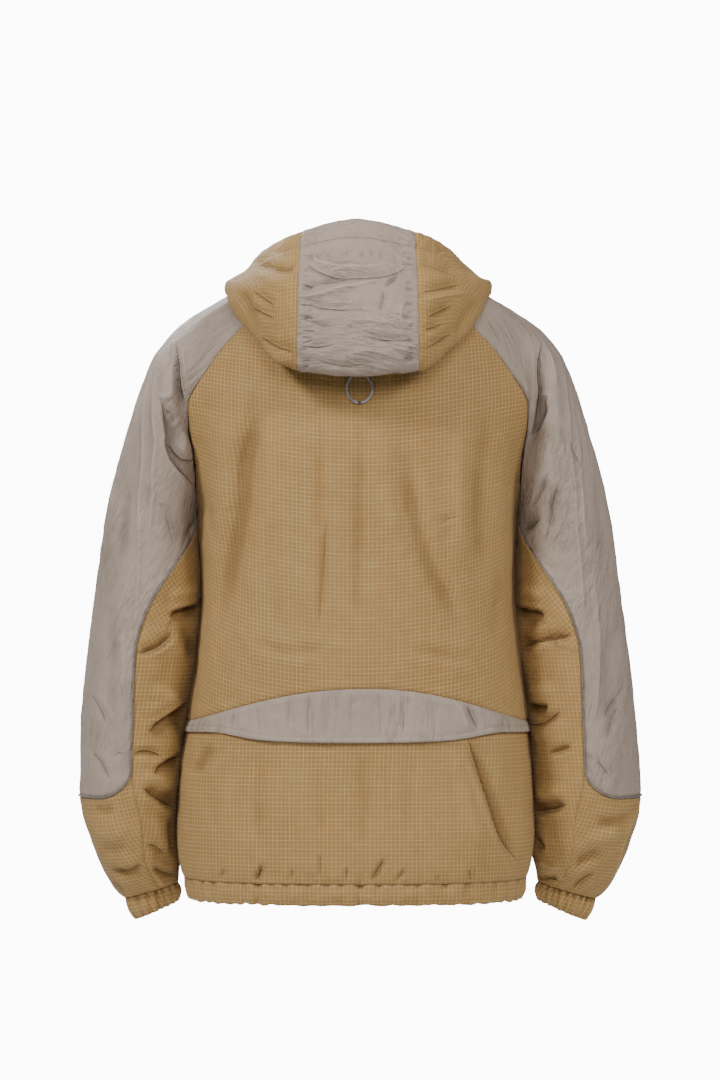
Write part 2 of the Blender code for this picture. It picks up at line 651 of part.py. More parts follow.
def belt(levels, around):
    """Points and normals all round the body; around runs -1..1 from zip to zip by the back."""
    face_back = np.abs(around) <= 0.5
    back_turn = np.clip(around * 2, -1, 1)
    half, _, _ = oval(levels, -1)
    first = np.arcsin((FRONT_EDGE / half) ** (SQUARENESS / 2)) / (math.pi / 2)
    front_turn = np.sign(around) * np.clip(first + (1 - first) * (1 - np.abs(around)) * 2, 0, 1)
    back = body_place(levels, back_turn, 1)
    front = body_place(levels, front_turn, -1)

    def on_back(a, b):
        return body_place(a, b, 1)

    def on_front(a, b):
        return body_place(a, b, -1)

    pick = face_back[..., None]
    normals = np.where(pick, facing(on_back, levels, back_turn * 0.9995, 1),
                       facing(on_front, levels, front_turn * 0.9995, -1))
    return np.where(pick, back, front), normals


# ------------------------------------------------------------------ sleeves
def sleeve_surface(side):
    """The sleeve on one side with its folds, as a function of level and share."""
    def plain(level, share):
        return arm_place(level, share, side)

    def folded(level, share):
        depth = folds([(row[0] * ROUND_LENGTH, row[1], row[2] * ROUND_LENGTH, row[3], row[4],
                        row[5]) for row in ARM_FOLDS], share * ROUND_LENGTH, level)
        near_edge = np.clip(np.minimum(share, 1 - share) / 0.03, 0, 1)
        return plain(level, share) + (facing(plain, level, share, side)
                                      * (depth * near_edge)[..., None])
    return folded


def sleeve_normal(level, share, side):
    """Outward normal of a sleeve at its edge beside the body."""
    def plain(a, b):
        return arm_place(a, b, side)
    inset = np.clip(share, 0.003, 0.997)
    return facing(plain, level, inset, side)


def body_normal(level, side, face):
    """Outward normal of the body at the raglan seam."""
    def plain(a, b):
        return body_place(a, b, face)
    turn = np.full_like(level, side * 0.995)
    return facing(plain, level, turn, face)


def seam_share(level, side):
    """Share of the way round, at the back, at which the lengthwise sleeve seam lies."""
    low, high = np.zeros_like(level), np.full_like(level, 0.5)
    target = SLEEVE_SEAM.at("out", level)
    for _ in range(22):
        middle = (low + high) / 2
        short = np.abs(arm_place(level, middle, side)[..., 0]) < target
        low = np.where(short, middle, low)
        high = np.where(short, high, middle)
    return np.where(level >= JOIN, 0.0, (low + high) / 2)


def patch_foot(share):
    """Level of the grey outer sleeve's lower edge; share runs 0..1 across the patch."""
    corner = np.clip(1 - np.minimum(share, 1 - share) / PATCH_CORNER_WIDTH, 0, 1)
    return PATCH_FOOT + PATCH_CORNER * corner**2.6


PATCH_COLUMNS = spaced(0, 1, 17)
FIRST_RING = UNDERARM - 0.010
PATCH_ROWS = np.array([0, 0.10, 0.21, 0.32, 0.43, 0.55, 0.67, 0.79, 0.90, 1.0])
FOREARM_ROWS = np.array([0, 0.14, 0.32, 0.52, 0.72, 0.87, 1.0])


def across_patch(level, share, side):
    """From the patch's own share across to the sleeve's share round."""
    seam = seam_share(level, side)
    return seam + (1 - 2 * seam) * share


def make_sleeve_outer(name, side):
    ring = UPPER_LEVELS[UPPER_LEVELS >= JOIN][:, None]
    foot = patch_foot(PATCH_COLUMNS)[None, :]
    levels = np.concatenate([np.repeat(ring, len(PATCH_COLUMNS), axis=1),
                             FIRST_RING + (foot - FIRST_RING) * PATCH_ROWS[:, None]])
    shares = across_patch(levels, np.broadcast_to(PATCH_COLUMNS, levels.shape), side)
    surface = sleeve_surface(side)
    grid = surface(levels, shares)
    normals = facing(surface, levels, np.clip(shares, 0.003, 0.997), side)
    for column, face in ((0, 1), (-1, -1)):
        seam = levels[:, column]
        mixed = mix_normals(normals[:, column], body_normal(seam, side, face))
        normals[:, column] = np.where((seam > JOIN - 1e-6)[:, None], mixed, normals[:, column])
    wall(name, grid, normals, GREY_NYLON,
         edges=("row first", "row last", "column first", "column last"))


def make_sleeve_under(name, side):
    """From its point at the armpit down to the cuff; the columns run back to front inside."""
    corner = PATCH_FOOT + PATCH_CORNER
    levels = np.concatenate([FIRST_RING + (corner - FIRST_RING) * PATCH_ROWS,
                             corner + (CUFF_SEAM - corner) * FOREARM_ROWS[1:]])[:, None]
    across = np.linspace(1, -1, 13)[None, :]
    shares = seam_share(levels, side) * across
    shares = np.where(shares < 0, 1 + shares, shares)
    levels = np.broadcast_to(levels, shares.shape)
    surface = sleeve_surface(side)
    grid = surface(levels, shares)
    normals = facing(surface, levels, np.clip(shares, 0.003, 0.997), side)
    top = armhole_foot(across[0], side)
    grid = np.concatenate([top[None], grid])
    normals = np.concatenate([normals[:1], normals])
    wall(name, grid, normals, TAN_CLOTH,
         edges=("row first", "row last", "column first", "column last"))


def armhole_foot(across, side):
    """Points of the armhole's bottom between the two joins, on the body's own edge line."""
    levels = UPPER_LEVELS[UPPER_LEVELS <= JOIN]
    back = np.array([raglan(level, 1) for level in levels])
    front = np.array([raglan(level, -1) for level in levels])
    span = np.concatenate([back, front[-2::-1]])
    heights = np.concatenate([levels, levels[-2::-1]])
    key = np.concatenate([np.linspace(1, 0, len(levels)), np.linspace(0, -1, len(levels))[1:]])
    order = np.argsort(key)
    out = np.interp(across, key[order], span[order, 0]) + SEAM_STEP
    y = np.interp(across, key[order], span[order, 1])
    height = np.interp(across, key[order], heights[order])
    return np.stack([side * out, y, height], axis=-1)


def make_sleeve_forearm(name, side):
    foot = patch_foot(PATCH_COLUMNS)[None, :]
    levels = foot + (CUFF_SEAM - foot) * FOREARM_ROWS[:, None]
    rounds = across_patch(levels, np.broadcast_to(PATCH_COLUMNS, levels.shape), side)
    surface = sleeve_surface(side)
    wall(name, surface(levels, rounds), facing(surface, levels, rounds, side), TAN_CLOTH,
         edges=("row first", "row last", "column first", "column last"))


def make_cuff(name, side):
    """The gathered elastic cuff."""
    count = CUFF_WAVES * 4
    around = (np.arange(count) / count)[None, :]
    rows = np.array([0.0, 0.5, 1.0])[:, None]
    puff = np.array([0.0004, 0.0030, 0.0002])[:, None]
    levels = CUFF_SEAM - 2 * TRIM + (CUFF_EDGE - CUFF_SEAM) * rows
    levels, around = np.broadcast_arrays(levels, around)

    def plain(a, b):
        return arm_place(a, np.mod(b, 1.0), side)

    wave = CUFF_WAVE_DEPTH * np.cos(around * CUFF_WAVES * 2 * math.pi
                                    + 0.4 * np.sin(around * 4 * math.pi))
    normals = facing(plain, levels, np.clip(around, 0.001, 0.999), side)
    grid = plain(levels, around) + normals * (puff + wave)[..., None]
    wall(name, grid, normals, TAN_CLOTH, thickness=CHANNEL_WALL, closed=True)


def make_piping(name, side):
    """Cord on the edge of the grey outer sleeve, from armpit to elbow and back up in front."""
    def edge(level, front):
        share = seam_share(level, side)
        return level, (1 - share if front else share)

    down = np.array([-0.262, -0.278, -0.288, -0.300, -0.320, -0.340, -0.365, -0.395, -0.430, -0.465,
                     -0.500])
    back = [edge(np.array([level]), False) for level in down]
    front = [edge(np.array([level]), True) for level in down[::-1]]
    foot = []
    for share in np.concatenate([[0.0, 0.012, 0.03, 0.06, 0.10], np.linspace(0.16, 0.84, 11),
                                 [0.90, 0.94, 0.97, 0.988, 1.0]]):
        level = patch_foot(np.array([share]))
        foot.append((level, across_patch(level, np.array([share]), side)))
    route = back + foot + front
    levels = np.concatenate([level for level, _ in route])
    shares = np.concatenate([share for _, share in route])
    surface = sleeve_surface(side)
    normals = facing(surface, levels, shares, side)
    points = surface(levels, shares) + normals * (PIPING_RADIUS + PIPING_EASE)
    curve = bpy.data.curves.new(name, "CURVE")
    curve.dimensions = "3D"
    curve.bevel_depth = PIPING_RADIUS
    curve.bevel_resolution = 1
    curve.use_fill_caps = True
    spline = curve.splines.new("POLY")
    spline.points.add(len(points) - 1)
    for knot, point in zip(spline.points, points):
        knot.co = (*point, 1)
    return add_object(name, curve, PIPING)


# ------------------------------------------------------------------ hood
def hood_surface(station, share):
    depth = folds([(row[0] * 0.062, row[1] * 0.36, row[2] * 0.062, row[3] * 0.36, row[4] * 0.6,
                    row[5]) for row in HOOD_FOLDS], station * 0.062, share * 0.36)
    return (hood_place(station, share)
            + facing(hood_place, station, share, -1) * depth[..., None])


HOOD_SHARES = spaced(0, 1, 16)
STRIP_STATIONS = np.array([-1, -0.8, -0.5, -0.17, 0.17, 0.5, 0.8, 1])
SIDE_STATIONS = {
    1: np.array([1, 1.35, 1.7, 2.0, 2.25, 2.5, 2.65, 2.8, 3.0, 3.25, 3.6, 4.0, 4.5, 5.0]),
    -1: np.array([1, 1.3, 1.65, 2.0, 2.3, 2.55, 2.7, 2.85, 3.05, 3.3, 3.65, 4.05, 4.5, 5.0])}


def make_hood_panel(name, stations, finish):
    stations = stations[None, :]
    shares = HOOD_SHARES[:, None]
    stations, shares = np.broadcast_arrays(stations, shares)
    grid = hood_surface(stations, shares)
    normals = facing(hood_surface, stations, np.clip(shares, 0.002, 0.998), -1)
    wall(name, grid, normals, finish, thickness=HOOD_CLOTH, edges=("column first", "column last"))


# ------------------------------------------------------------------ hang loop
def make_hang_loop():
    centre = back_surface(np.array([RING_LEVEL]), np.array([0.0]))[0]
    centre[0] = RING_OUT
    facing_out = facing(back_surface, np.array([RING_LEVEL]), np.array([0.0]), 1)[0]
    tilt = math.atan2(facing_out[2], facing_out[1])
    stand = RING_CORD + 0.0008
    bpy.ops.mesh.primitive_torus_add(major_radius=RING_RADIUS, minor_radius=RING_CORD,
                                     major_segments=28, minor_segments=6,
                                     location=centre + facing_out * stand,
                                     rotation=(math.pi / 2 + tilt, 0, 0))
    ring = bpy.context.object
    ring.name = "hang_loop"
    ring.data.materials.append(CORD)
    ring.data.shade_smooth()
    move_to_jacket(ring)
    foot = centre + facing_out * stand
    down = np.array([0, -facing_out[2], -abs(facing_out[1])])
    down = down / np.linalg.norm(down) if facing_out[2] <= 0 else np.array([0, facing_out[2],
                                                                           -facing_out[1]])
    foot = foot + down * RING_RADIUS
    width = np.array([-0.0011, 0.0, 0.0011])[:, None]
    angle = np.radians(np.linspace(-20, 200, 9))[None, :]
    reach = RING_CORD + EASE + 0.0006
    width, angle = np.broadcast_arrays(width, angle)
    sideways = np.array([1.0, 0, 0])
    radial = np.cos(angle)[..., None] * down + np.sin(angle)[..., None] * facing_out
    grid = foot + width[..., None] * sideways + radial * reach
    wall("loop_tack", grid, radial, CORD, thickness=0.0006)


def move_to_jacket(made):
    for holder in list(made.users_collection):
        holder.objects.unlink(made)
    JACKET.objects.link(made)


# ------------------------------------------------------------------ zip
ZIP_FOOT_LEVEL = HEM_EDGE + 0.001
ZIP_TOP_LEVEL = NECKLINE - ZIP_TOP_DROP


def zip_line(level):
    """The centre front line at a level, on the cloth's outer face, and its outward direction."""
    level = np.asarray(level, float)
    turn = np.full_like(level, 0.02)

    def plain(a, b):
        return body_place(a, b, -1)
    place = plain(level, turn)
    outward = facing(plain, level, turn, -1)
    place[..., 0] = BODY.at("sway", level)
    outward[..., 0] = 0
    return place, unit(outward)


def make_zip_side(name, side):
    """Tape behind the front's edge with half of the chain standing up beside the centre."""
    levels = np.concatenate([[ZIP_TOP_LEVEL], FRONT_LEVELS[1:], [-0.661, ZIP_FOOT_LEVEL]])
    place, outward = zip_line(levels)
    under = -(CLOTH + EASE + 0.0004)
    profile = ((0.0003, under + CHAIN_RISE), (CHAIN_WIDTH, under + CHAIN_RISE),
               (CHAIN_WIDTH, under), (TAPE_WIDTH, under), (TAPE_WIDTH, under - TAPE_THICK),
               (0.0003, under - TAPE_THICK))
    strip = bmesh.new()
    rings = []
    for point, out in zip(place, outward):
        rings.append([strip.verts.new(point + out * rise + np.array([side * across, 0, 0]))
                      for across, rise in profile])
    count = len(profile)
    for upper, lower in zip(rings, rings[1:]):
        for i in range(count):
            j = (i + 1) % count
            strip.faces.new((upper[i], upper[j], lower[j], lower[i]))
    strip.faces.new(rings[0])
    strip.faces.new(rings[-1][::-1])
    bmesh.ops.recalc_face_normals(strip, faces=strip.faces)
    mesh = bpy.data.meshes.new(name)
    strip.to_mesh(mesh)
    strip.free()
    add_object(name, mesh, TAPE)


def extruded(name, outline, start, end, axes, holder):
    """A closed outline drawn in two axes and drawn out along the third."""
    first, second, third = ("xyz".index(axis) for axis in axes)
    solid = bmesh.new()
    loops = []
    for depth in (start, end):
        loop = []
        for a, b in outline:
            point = [0.0, 0.0, 0.0]
            point[first], point[second], point[third] = a, b, depth
            loop.append(solid.verts.new(point))
        loops.append(loop)
    solid.faces.new(loops[0])
    solid.faces.new(loops[1][::-1])
    for i in range(len(outline)):
        j = (i + 1) % len(outline)
        solid.faces.new((loops[0][i], loops[0][j], loops[1][j], loops[1][i]))
    bmesh.ops.recalc_face_normals(solid, faces=solid.faces)
    mesh = bpy.data.meshes.new(name)
    solid.to_mesh(mesh)
    solid.free()
    made = bpy.data.objects.new(name, mesh)
    holder.objects.link(made)
    return made


SLIDER_LEVEL = -0.010     # level of the slider's middle
SLIDER_HALF_WIDTH = 0.0044
SLIDER_HALF_LENGTH = 0.0060
SLIDER_PLATE = 0.0012
SLIDER_RAIL = 0.0009
BAIL_HALF_WIDTH = 0.0009
BAIL_ROOM = 0.0016        # half of the bail's inner length, and its inner height less the bar
BAIL_WIRE = 0.0009
BAR_HALF = 0.0007
PULL_EYE = 0.0034         # from the bar's middle to the far end of the pull's eye


def slider_frame():
    """The slider's origin on the chain, and its own outward and upward directions."""
    place, outward = zip_line(np.array([SLIDER_LEVEL]))
    outward = outward[0]
    up = np.array([0.0, -outward[2], outward[1]]) * (1 if outward[1] > 0 else -1)
    chain_top = place[0] + outward * (-(CLOTH + EASE + 0.0004) + CHAIN_RISE)
    return chain_top, outward, up


def set_in_frame(made, origin, outward, up):
    """Turn a piece built with x across, y outwards and z up, and put it on the chain."""
    columns = (np.cross(outward, up), outward, up, origin)
    made.data.transform(Matrix([[float(column[row]) for column in columns] for row in range(3)]
                               + [[0, 0, 0, 1]]))


def make_slider():
    """Front plate with side flanges over the chain, and a bail for the pull."""
    origin, outward, up = slider_frame()
    w, l = SLIDER_HALF_WIDTH, SLIDER_HALF_LENGTH
    rail = w - SLIDER_RAIL
    plate_high = EASE + SLIDER_PLATE
    rail_foot = -CHAIN_RISE + EASE + 0.0001
    body = extruded("zip_slider", ((-w, rail_foot), (-w, plate_high), (w, plate_high),
                                   (w, rail_foot), (rail, rail_foot), (rail, EASE),
                                   (-rail, EASE), (-rail, rail_foot)), -l, l, "xyz", JACKET)
    root = EASE + SLIDER_PLATE / 2
    under = plate_high + EASE + 2 * BAR_HALF + 0.0009
    over = under + BAIL_WIRE
    reach = BAIL_ROOM + BAIL_WIRE
    bail = extruded("bail", ((-reach, root), (-reach, over), (reach, over), (reach, root),
                             (BAIL_ROOM, root), (BAIL_ROOM, under), (-BAIL_ROOM, under),
                             (-BAIL_ROOM, root)),
                    -BAIL_HALF_WIDTH, BAIL_HALF_WIDTH, "zyx", CUTTERS)
    hide_cutter(bail)
    join = body.modifiers.new("bail", "BOOLEAN")
    join.operation = "UNION"
    join.object = bail
    for made in (body, bail):
        set_in_frame(made, origin, outward, up)
    body.data.materials.append(METAL)


def hide_cutter(made):
    made.hide_render = True
    made.display_type = "WIRE"


def make_pull():
    """A flat tab with an eye; it hangs from the bail and swings on its top bar."""
    origin, outward, up = slider_frame()
    bar = EASE + SLIDER_PLATE + EASE + BAR_HALF + 0.0002
    w, half = PULL_WIDTH / 2, PULL_THICK / 2
    eye = BAIL_HALF_WIDTH + 0.0006
    tab = extruded("zip_pull", ((-w, BAR_HALF), (w, BAR_HALF), (w, -PULL_LENGTH + 0.002),
                                (w - 0.002, -PULL_LENGTH), (-w + 0.002, -PULL_LENGTH),
                                (-w, -PULL_LENGTH + 0.002)), -half, half, "xzy", JACKET)
    hole = extruded("pull_eye", ((-eye, -BAR_HALF), (eye, -BAR_HALF), (eye, -PULL_EYE),
                                 (-eye, -PULL_EYE)), -2 * half, 2 * half, "xzy", CUTTERS)
    hide_cutter(hole)
    cut = tab.modifiers.new("eye", "BOOLEAN")
    cut.operation = "DIFFERENCE"
    cut.object = hole
    for made in (tab, hole):
        set_in_frame(made, origin + outward * bar, outward, up)
    tab.data.materials.append(METAL)


# ------------------------------------------------------------------ the jacket
for old in list(bpy.data.objects):
    bpy.data.objects.remove(old, do_unlink=True)

JACKET = bpy.data.collections.new("windbreaker_jacket")
CUTTERS = bpy.data.collections.new("cutters")
bpy.context.scene.collection.children.link(JACKET)
bpy.context.scene.collection.children.link(CUTTERS)

TAN_CLOTH = material("tan_ripstop", TAN, 0.85)
GREY_NYLON = material("grey_nylon", GREY, 0.62)
PIPING = material("grey_piping", PIPING_GREY, 0.6)
CORD = material("steel_grey_cord", STEEL, 0.45)
TAPE = material("zip_tape", PIPING_GREY, 0.8)
METAL = material("zip_metal", STEEL, 0.35, 0.9)

make_back_upper()
make_back_vent()
make_back_lower()
make_hem()
make_hood_panel("hood_centre", STRIP_STATIONS, GREY_NYLON)
make_hang_loop()
for word, side in (("left", 1), ("right", -1)):
    make_front("front_" + word, side)
    make_sleeve_outer("sleeve_" + word + "_outer", side)
    make_sleeve_under("sleeve_" + word + "_under", side)
    make_sleeve_forearm("sleeve_" + word + "_forearm", side)
    make_cuff("cuff_" + word, side)
    make_piping("piping_" + word, side)
    make_hood_panel("hood_" + word, side * SIDE_STATIONS[side], TAN_CLOTH)
    make_zip_side("zip_" + word, side)
make_slider()
make_pull()
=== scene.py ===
"""Looks of a hooded raglan windbreaker, held open as it is when worn.

Metres, +Z up. The jacket's front faces -Y and the wearer's left is +X; the origin is at the base
of the neck. Each sewn piece is a thin shell of cloth on the form that its solid has.
"""
import math

import bpy
import numpy as np
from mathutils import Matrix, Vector


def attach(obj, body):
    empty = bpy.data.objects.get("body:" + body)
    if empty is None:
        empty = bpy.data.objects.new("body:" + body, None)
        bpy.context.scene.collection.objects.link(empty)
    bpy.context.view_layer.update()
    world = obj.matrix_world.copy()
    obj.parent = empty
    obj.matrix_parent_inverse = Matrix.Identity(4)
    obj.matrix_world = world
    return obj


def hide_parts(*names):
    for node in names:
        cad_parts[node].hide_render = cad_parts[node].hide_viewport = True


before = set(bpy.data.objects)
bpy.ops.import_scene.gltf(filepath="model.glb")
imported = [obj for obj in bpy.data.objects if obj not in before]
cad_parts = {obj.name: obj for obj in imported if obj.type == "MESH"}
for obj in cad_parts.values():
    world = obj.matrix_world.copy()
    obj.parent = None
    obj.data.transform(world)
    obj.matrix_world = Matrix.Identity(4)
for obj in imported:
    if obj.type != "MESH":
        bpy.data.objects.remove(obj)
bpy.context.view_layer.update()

# ------------------------------------------------------------------ sizes of the jacket
MM = 0.001
SHELL, DOUBLE = 0.0011, 0.0020      # one layer of cloth, and the hem channel's and cuffs' two
SEAM_STEP = 0.0004        # sleeve edge beside body edge
NECKLINE, NECK_LIFT = 0.012, 0.0006
UNDERARM = -0.250         # level of the bottom of the armhole
JOIN = -0.244             # level where the under-sleeve's point meets the armhole
HEM_SEAM, HEM_EDGE = -0.6495, -0.6735
CUFF_SEAM, CUFF_EDGE = -0.6665, -0.6885
EDGE_LAP = 0.0003         # a channel starts this far below its seam's level
NECK_LEAN, LEAN_STARTS = 0.40, -0.130
SQUARENESS = 2.5          # exponent of the torso's oval
ROUND = 1.17              # tangent length that makes four points a true oval
FRONT_EDGE = 0.006
VENT_RISE, VENT_TOP, VENT_FOOT = 0.0465, -0.4396, -0.4970
VENT_END_LIFT, VENT_APEX, VENT_STAND, VENT_LAP = 0.0070, -0.010, 0.0029, 0.012
VENT_ARCH = 2.15          # exponent of the arch over the vent
VENT_BLUNT, VENT_SEWN = 0.0078, 0.0052
HALF_AT_VENT = 0.189
PATCH_FOOT, PATCH_CORNER, PATCH_CORNER_WIDTH = -0.5610, 0.030, 0.22
RIGHT_ARM_SPREAD = 0.0025
FRONT_SHARE = 0.93        # the front raglan seam lies this much of the way forward
VIEW_FROM = 5.0           # the creases are drawn as seen from this far behind
EYE_LEVEL = -0.2805
TWO_SIDES = ("left", 1), ("right", -1)


# ------------------------------------------------------------------ tables
def blend(u, low, high, rise, fall):
    """A cubic from low to high, with a slope of its own at each end."""
    return ((2 * u**3 - 3 * u**2 + 1) * low + (u**3 - 2 * u**2 + u) * rise
            + (3 * u**2 - 2 * u**3) * high + (u**3 - u**2) * fall)


class Table:
    """Rows of named columns in mm, or plain where the name has a star, read on a smooth curve."""

    def __init__(self, names, *rows):
        self.names = names.replace("*", "").split()
        self.rows = np.array(sorted(rows)) * [1 if "*" in name else MM for name in names.split()]
        steps = np.diff(self.rows[:, :1], axis=0)
        rates = np.diff(self.rows, axis=0) / steps
        left, right = 2 * steps[1:] + steps[:-1], steps[1:] + 2 * steps[:-1]
        rising = rates[:-1] * rates[1:] > 0      # elsewhere flat, so that no curve swings past
        before, after = np.where(rising, rates[:-1], 1), np.where(rising, rates[1:], 1)
        inner = rising * (left + right) / (left / before + right / after)
        self.slopes = np.concatenate([rates[:1], inner, rates[-1:]])

    def at(self, name, where):
        column, keys = self.names.index(name), self.rows[:, 0]
        where = np.clip(np.asarray(where, float), keys[0], keys[-1])
        cell = np.clip(np.searchsorted(keys, where, side="right") - 1, 0, len(keys) - 2)
        step = keys[cell + 1] - keys[cell]
        return blend((where - keys[cell]) / step, self.rows[cell, column],
                     self.rows[cell + 1, column], self.slopes[cell, column] * step,
                     self.slopes[cell + 1, column] * step)


def across_centre(names, *rows):
    """A table whose rows next to the centre are repeated on its other side, x turned round."""
    turn = [-1 if i == 0 or name.endswith("_x") else 1 for i, name in enumerate(names.split())]
    return Table(names, *(tuple(np.multiply(row, turn)) for row in rows[1:3]), *rows)


# The body's oval at each level: distance of the back and the front from the middle, half width
# below the armholes, and how far the oval sits over to the wearer's left.
BODY = Table("level back front half sway",
    (12, 80, 80, 100, 0), (-15, 97, 93, 120, 0), (-44, 114, 107, 150, 0), (-80, 131, 121, 170, 0),
    (-124, 142, 132, 180, 0), (-180, 147, 139, 178, 0), (-250, 147, 142, 175, 0),
    (-300, 146, 143, 172.5, 0), (-340, 145, 144, 171.6, 0), (-380, 143, 144, 175.2, 0),
    (-415, 142, 144, 178.5, 0), (-451, 140, 144, 184, 0.5), (-485, 138, 144, 188, 1),
    (-518, 138, 144, 191.5, 2), (-557, 139, 144, 194.5, 3), (-600, 139, 143, 195.8, 3),
    (-630, 137, 141, 193.5, 3), (-649.5, 133, 137, 188.5, 3), (-673.5, 129, 132, 183.5, 3))
# The back raglan seam by height: distance from the centre plane and distance behind the arm.
RAGLAN = Table("height out behind",
    (45, 56, 66), (20, 72, 77), (-10, 95, 87), (-33, 112, 91), (-50.4, 125.3, 92.5),
    (-71.2, 144.6, 93.5), (-99.2, 164.6, 93), (-120.6, 178.2, 89), (-133.3, 183.8, 85),
    (-161.1, 183.2, 75), (-181.4, 179.7, 66), (-201.9, 177.3, 56), (-236.5, 176.2, 32),
    (-244, 175.7, 21.5), (-248.5, 175.2, 11), (-250, 175, 0))
# The arm's oval at each level: its outer edge, its fullest place at the back, the direction in
# which the cloth leaves the raglan seam (degrees, 0 is straight out, 90 straight back), the
# clearance to the body below the armhole, the arm's middle fore and aft, and the tilt of the cut.
ARM = Table("level outer full_out full_back leaves* clear middle tilt*",
    (12, 86, 78, 36, -38, 0, 0, 0), (0, 105, 94, 47, -36, 0, 0, 0),
    (-15.4, 133, 116, 56, -33, 0, 0, 0), (-31, 165, 140, 62, -31, 0, 0, 0),
    (-43, 187, 159, 67, -29, 0, 0, 0), (-56, 204.5, 176, 71, -27, 0, 0, 0),
    (-71.5, 218, 192, 75, -25, 0, 0, 0), (-86, 227.5, 203, 79, -20, 0, 0, 0),
    (-104.5, 235, 211, 84, -12, 0, 0, 0), (-130, 244, 217, 91, 5, 0, 0, 0),
    (-160, 253.5, 220, 95, 38, 0, 0, 0), (-200, 265, 223, 94, 70, 0, 0, 0),
    (-250, 276.5, 226.5, 88, 90, 0.4, 0, 0), (-293, 283, 229, 85, 90, 1.5, -1, 0),
    (-348, 290.5, 232, 83, 90, 1.5, -2, 0), (-412.5, 299, 238.5, 81, 90, 1.5, -4, 0),
    (-480, 306, 247, 80, 90, 1.5, -7, 0), (-530, 308.5, 251, 78, 90, 1.5, -9, 0),
    (-560, 309, 252, 76, 90, 1.5, -10, 0), (-580, 307, 252, 73, 90, 1.5, -11, -0.01),
    (-604, 300, 250, 69, 90, 1.8, -13, -0.04), (-630, 288.5, 244, 59, 90, 2.5, -15, -0.12),
    (-650, 276.5, 238, 48, 90, 8, -17, -0.22), (-660, 268.5, 233.5, 41, 90, 11, -18, -0.27),
    (-666.5, 261, 230, 34.5, 90, 13, -18, -0.29), (-688.5, 249, 223, 30.5, 90, 14.5, -18, -0.42))
# The seam that parts the under-sleeve from the outer sleeve, by level: distance from the centre.
SLEEVE_SEAM = Table("level out",
    (-244, 175.7), (-260, 176.5), (-277, 181), (-302, 195), (-326, 211), (-350, 225.5),
    (-374, 235), (-398, 241), (-440, 243.5), (-477, 244.5), (-510, 246), (-531, 246.5),
    (-553, 244), (-575, 238.5), (-600, 235), (-628, 234), (-645, 228), (-666.5, 217))
# The hood as it hangs down the back, station by station from the centre back (0) past the seam of
# its middle strip (1) and its outermost tip (3) to the centre front (5). Each station is a fold
# of cloth: it leaves the neck seam, runs out to the fold, and comes back up to the face opening.
# "round" is the share of the sleeve's top edge at which it leaves the neck.
HOOD = across_centre("station* round* in_x in_y in_z fold_x fold_y fold_z out_x out_y out_z "
                     "edge_x edge_y edge_z",
    (0, 0, 0, 130, 8, 0, 172, -105, 0, 196, -30, 0, 133, 63.5),
    (1, 0, 60, 124, 9, 64, 168, -98.5, 64, 190, -28, 61.2, 122, 50.5),
    (2, 0.18, 89, 97, 15, 109, 130, -63, 113, 144, -18, 100, 87, 34),
    (2.5, 0.32, 109, 68, 17, 130, 96, -36, 136.5, 100, -8, 126, 60, 10.5),
    (2.75, 0.41, 113, 49, 18.5, 138, 80, -20, 143, 78, -5.5, 134.5, 48, 5),
    (3, 0.5, 113, 26, 17, 143, 38, -9.5, 145, 39, -2.5, 138.5, 33, 2.5),
    (3.5, 0.74, 102, -30, 16, 124, -34, 4, 133, -35, -8, 137, -35, -19),
    (4, 1, 69, -71, 5, 82, -82, 4, 93, -89, -9, 99, -91, -26),
    (4.5, 1, 39, -80, -1, 44, -90, 2, 49, -98, -4, 53, -102, -15),
    (5, 1, 7.5, -83, -14, 9, -86, -8, 11, -89, -3, 13.5, -91.5, 1))


# ------------------------------------------------------------------ surfaces
def unit(vectors):
    return vectors / np.maximum(np.linalg.norm(vectors, axis=-1, keepdims=True), 1e-12)


def stacked(*parts):
    """Places from their coordinates."""
    return np.stack(np.broadcast_arrays(*parts), axis=-1)


def eased(share):
    """0 to 1 with a soft start and end."""
    share = np.clip(share, 0, 1)
    return share * share * (3 - 2 * share)


def bump(distance, width):
    """A soft ridge's profile: 1 on its line, 0 a width or two away."""
    return np.exp(-(distance / width) ** 2)


def round_path(points, share, *ends):
    """A round curve through points (n, k, d), read at a share 0..1 of its length for each n."""
    chords = np.linalg.norm(np.diff(points, axis=1), axis=2)
    knots = np.pad(np.cumsum(chords, axis=1), ((0, 0), (1, 0)))
    first, last = ends or (unit(points[:, 1] - points[:, 0]), unit(points[:, -1] - points[:, -2]))
    heading = np.concatenate([first[:, None], unit(points[:, 2:] - points[:, :-2]),
                              last[:, None]], axis=1)
    distance = np.clip(share, 0, 1) * knots[:, -1]
    each = np.arange(len(points))
    cell = np.clip((distance[:, None] >= knots).sum(axis=1) - 1, 0, points.shape[1] - 2)
    chord = chords[each, cell][:, None]
    return blend((distance - knots[each, cell])[:, None] / chord, points[each, cell],
                 points[each, cell + 1], ROUND * chord * heading[each, cell],
                 ROUND * chord * heading[each, cell + 1])


def lean(level):
    """Forward slope of the cut at a level: none on the body, most at the neckline."""
    return NECK_LEAN * np.clip((level - LEAN_STARTS) / (NECKLINE - LEAN_STARTS), 0, 1) ** 1.5


def raglan(level, face):
    """The raglan seam where it crosses a level, as distance out and fore or aft (back is +)."""
    height = level
    for _ in range(6):
        height = level + lean(level) * RAGLAN.at("behind", height)
    return (RAGLAN.at("out", height),
            face * (1.0 if face > 0 else FRONT_SHARE) * RAGLAN.at("behind", height))


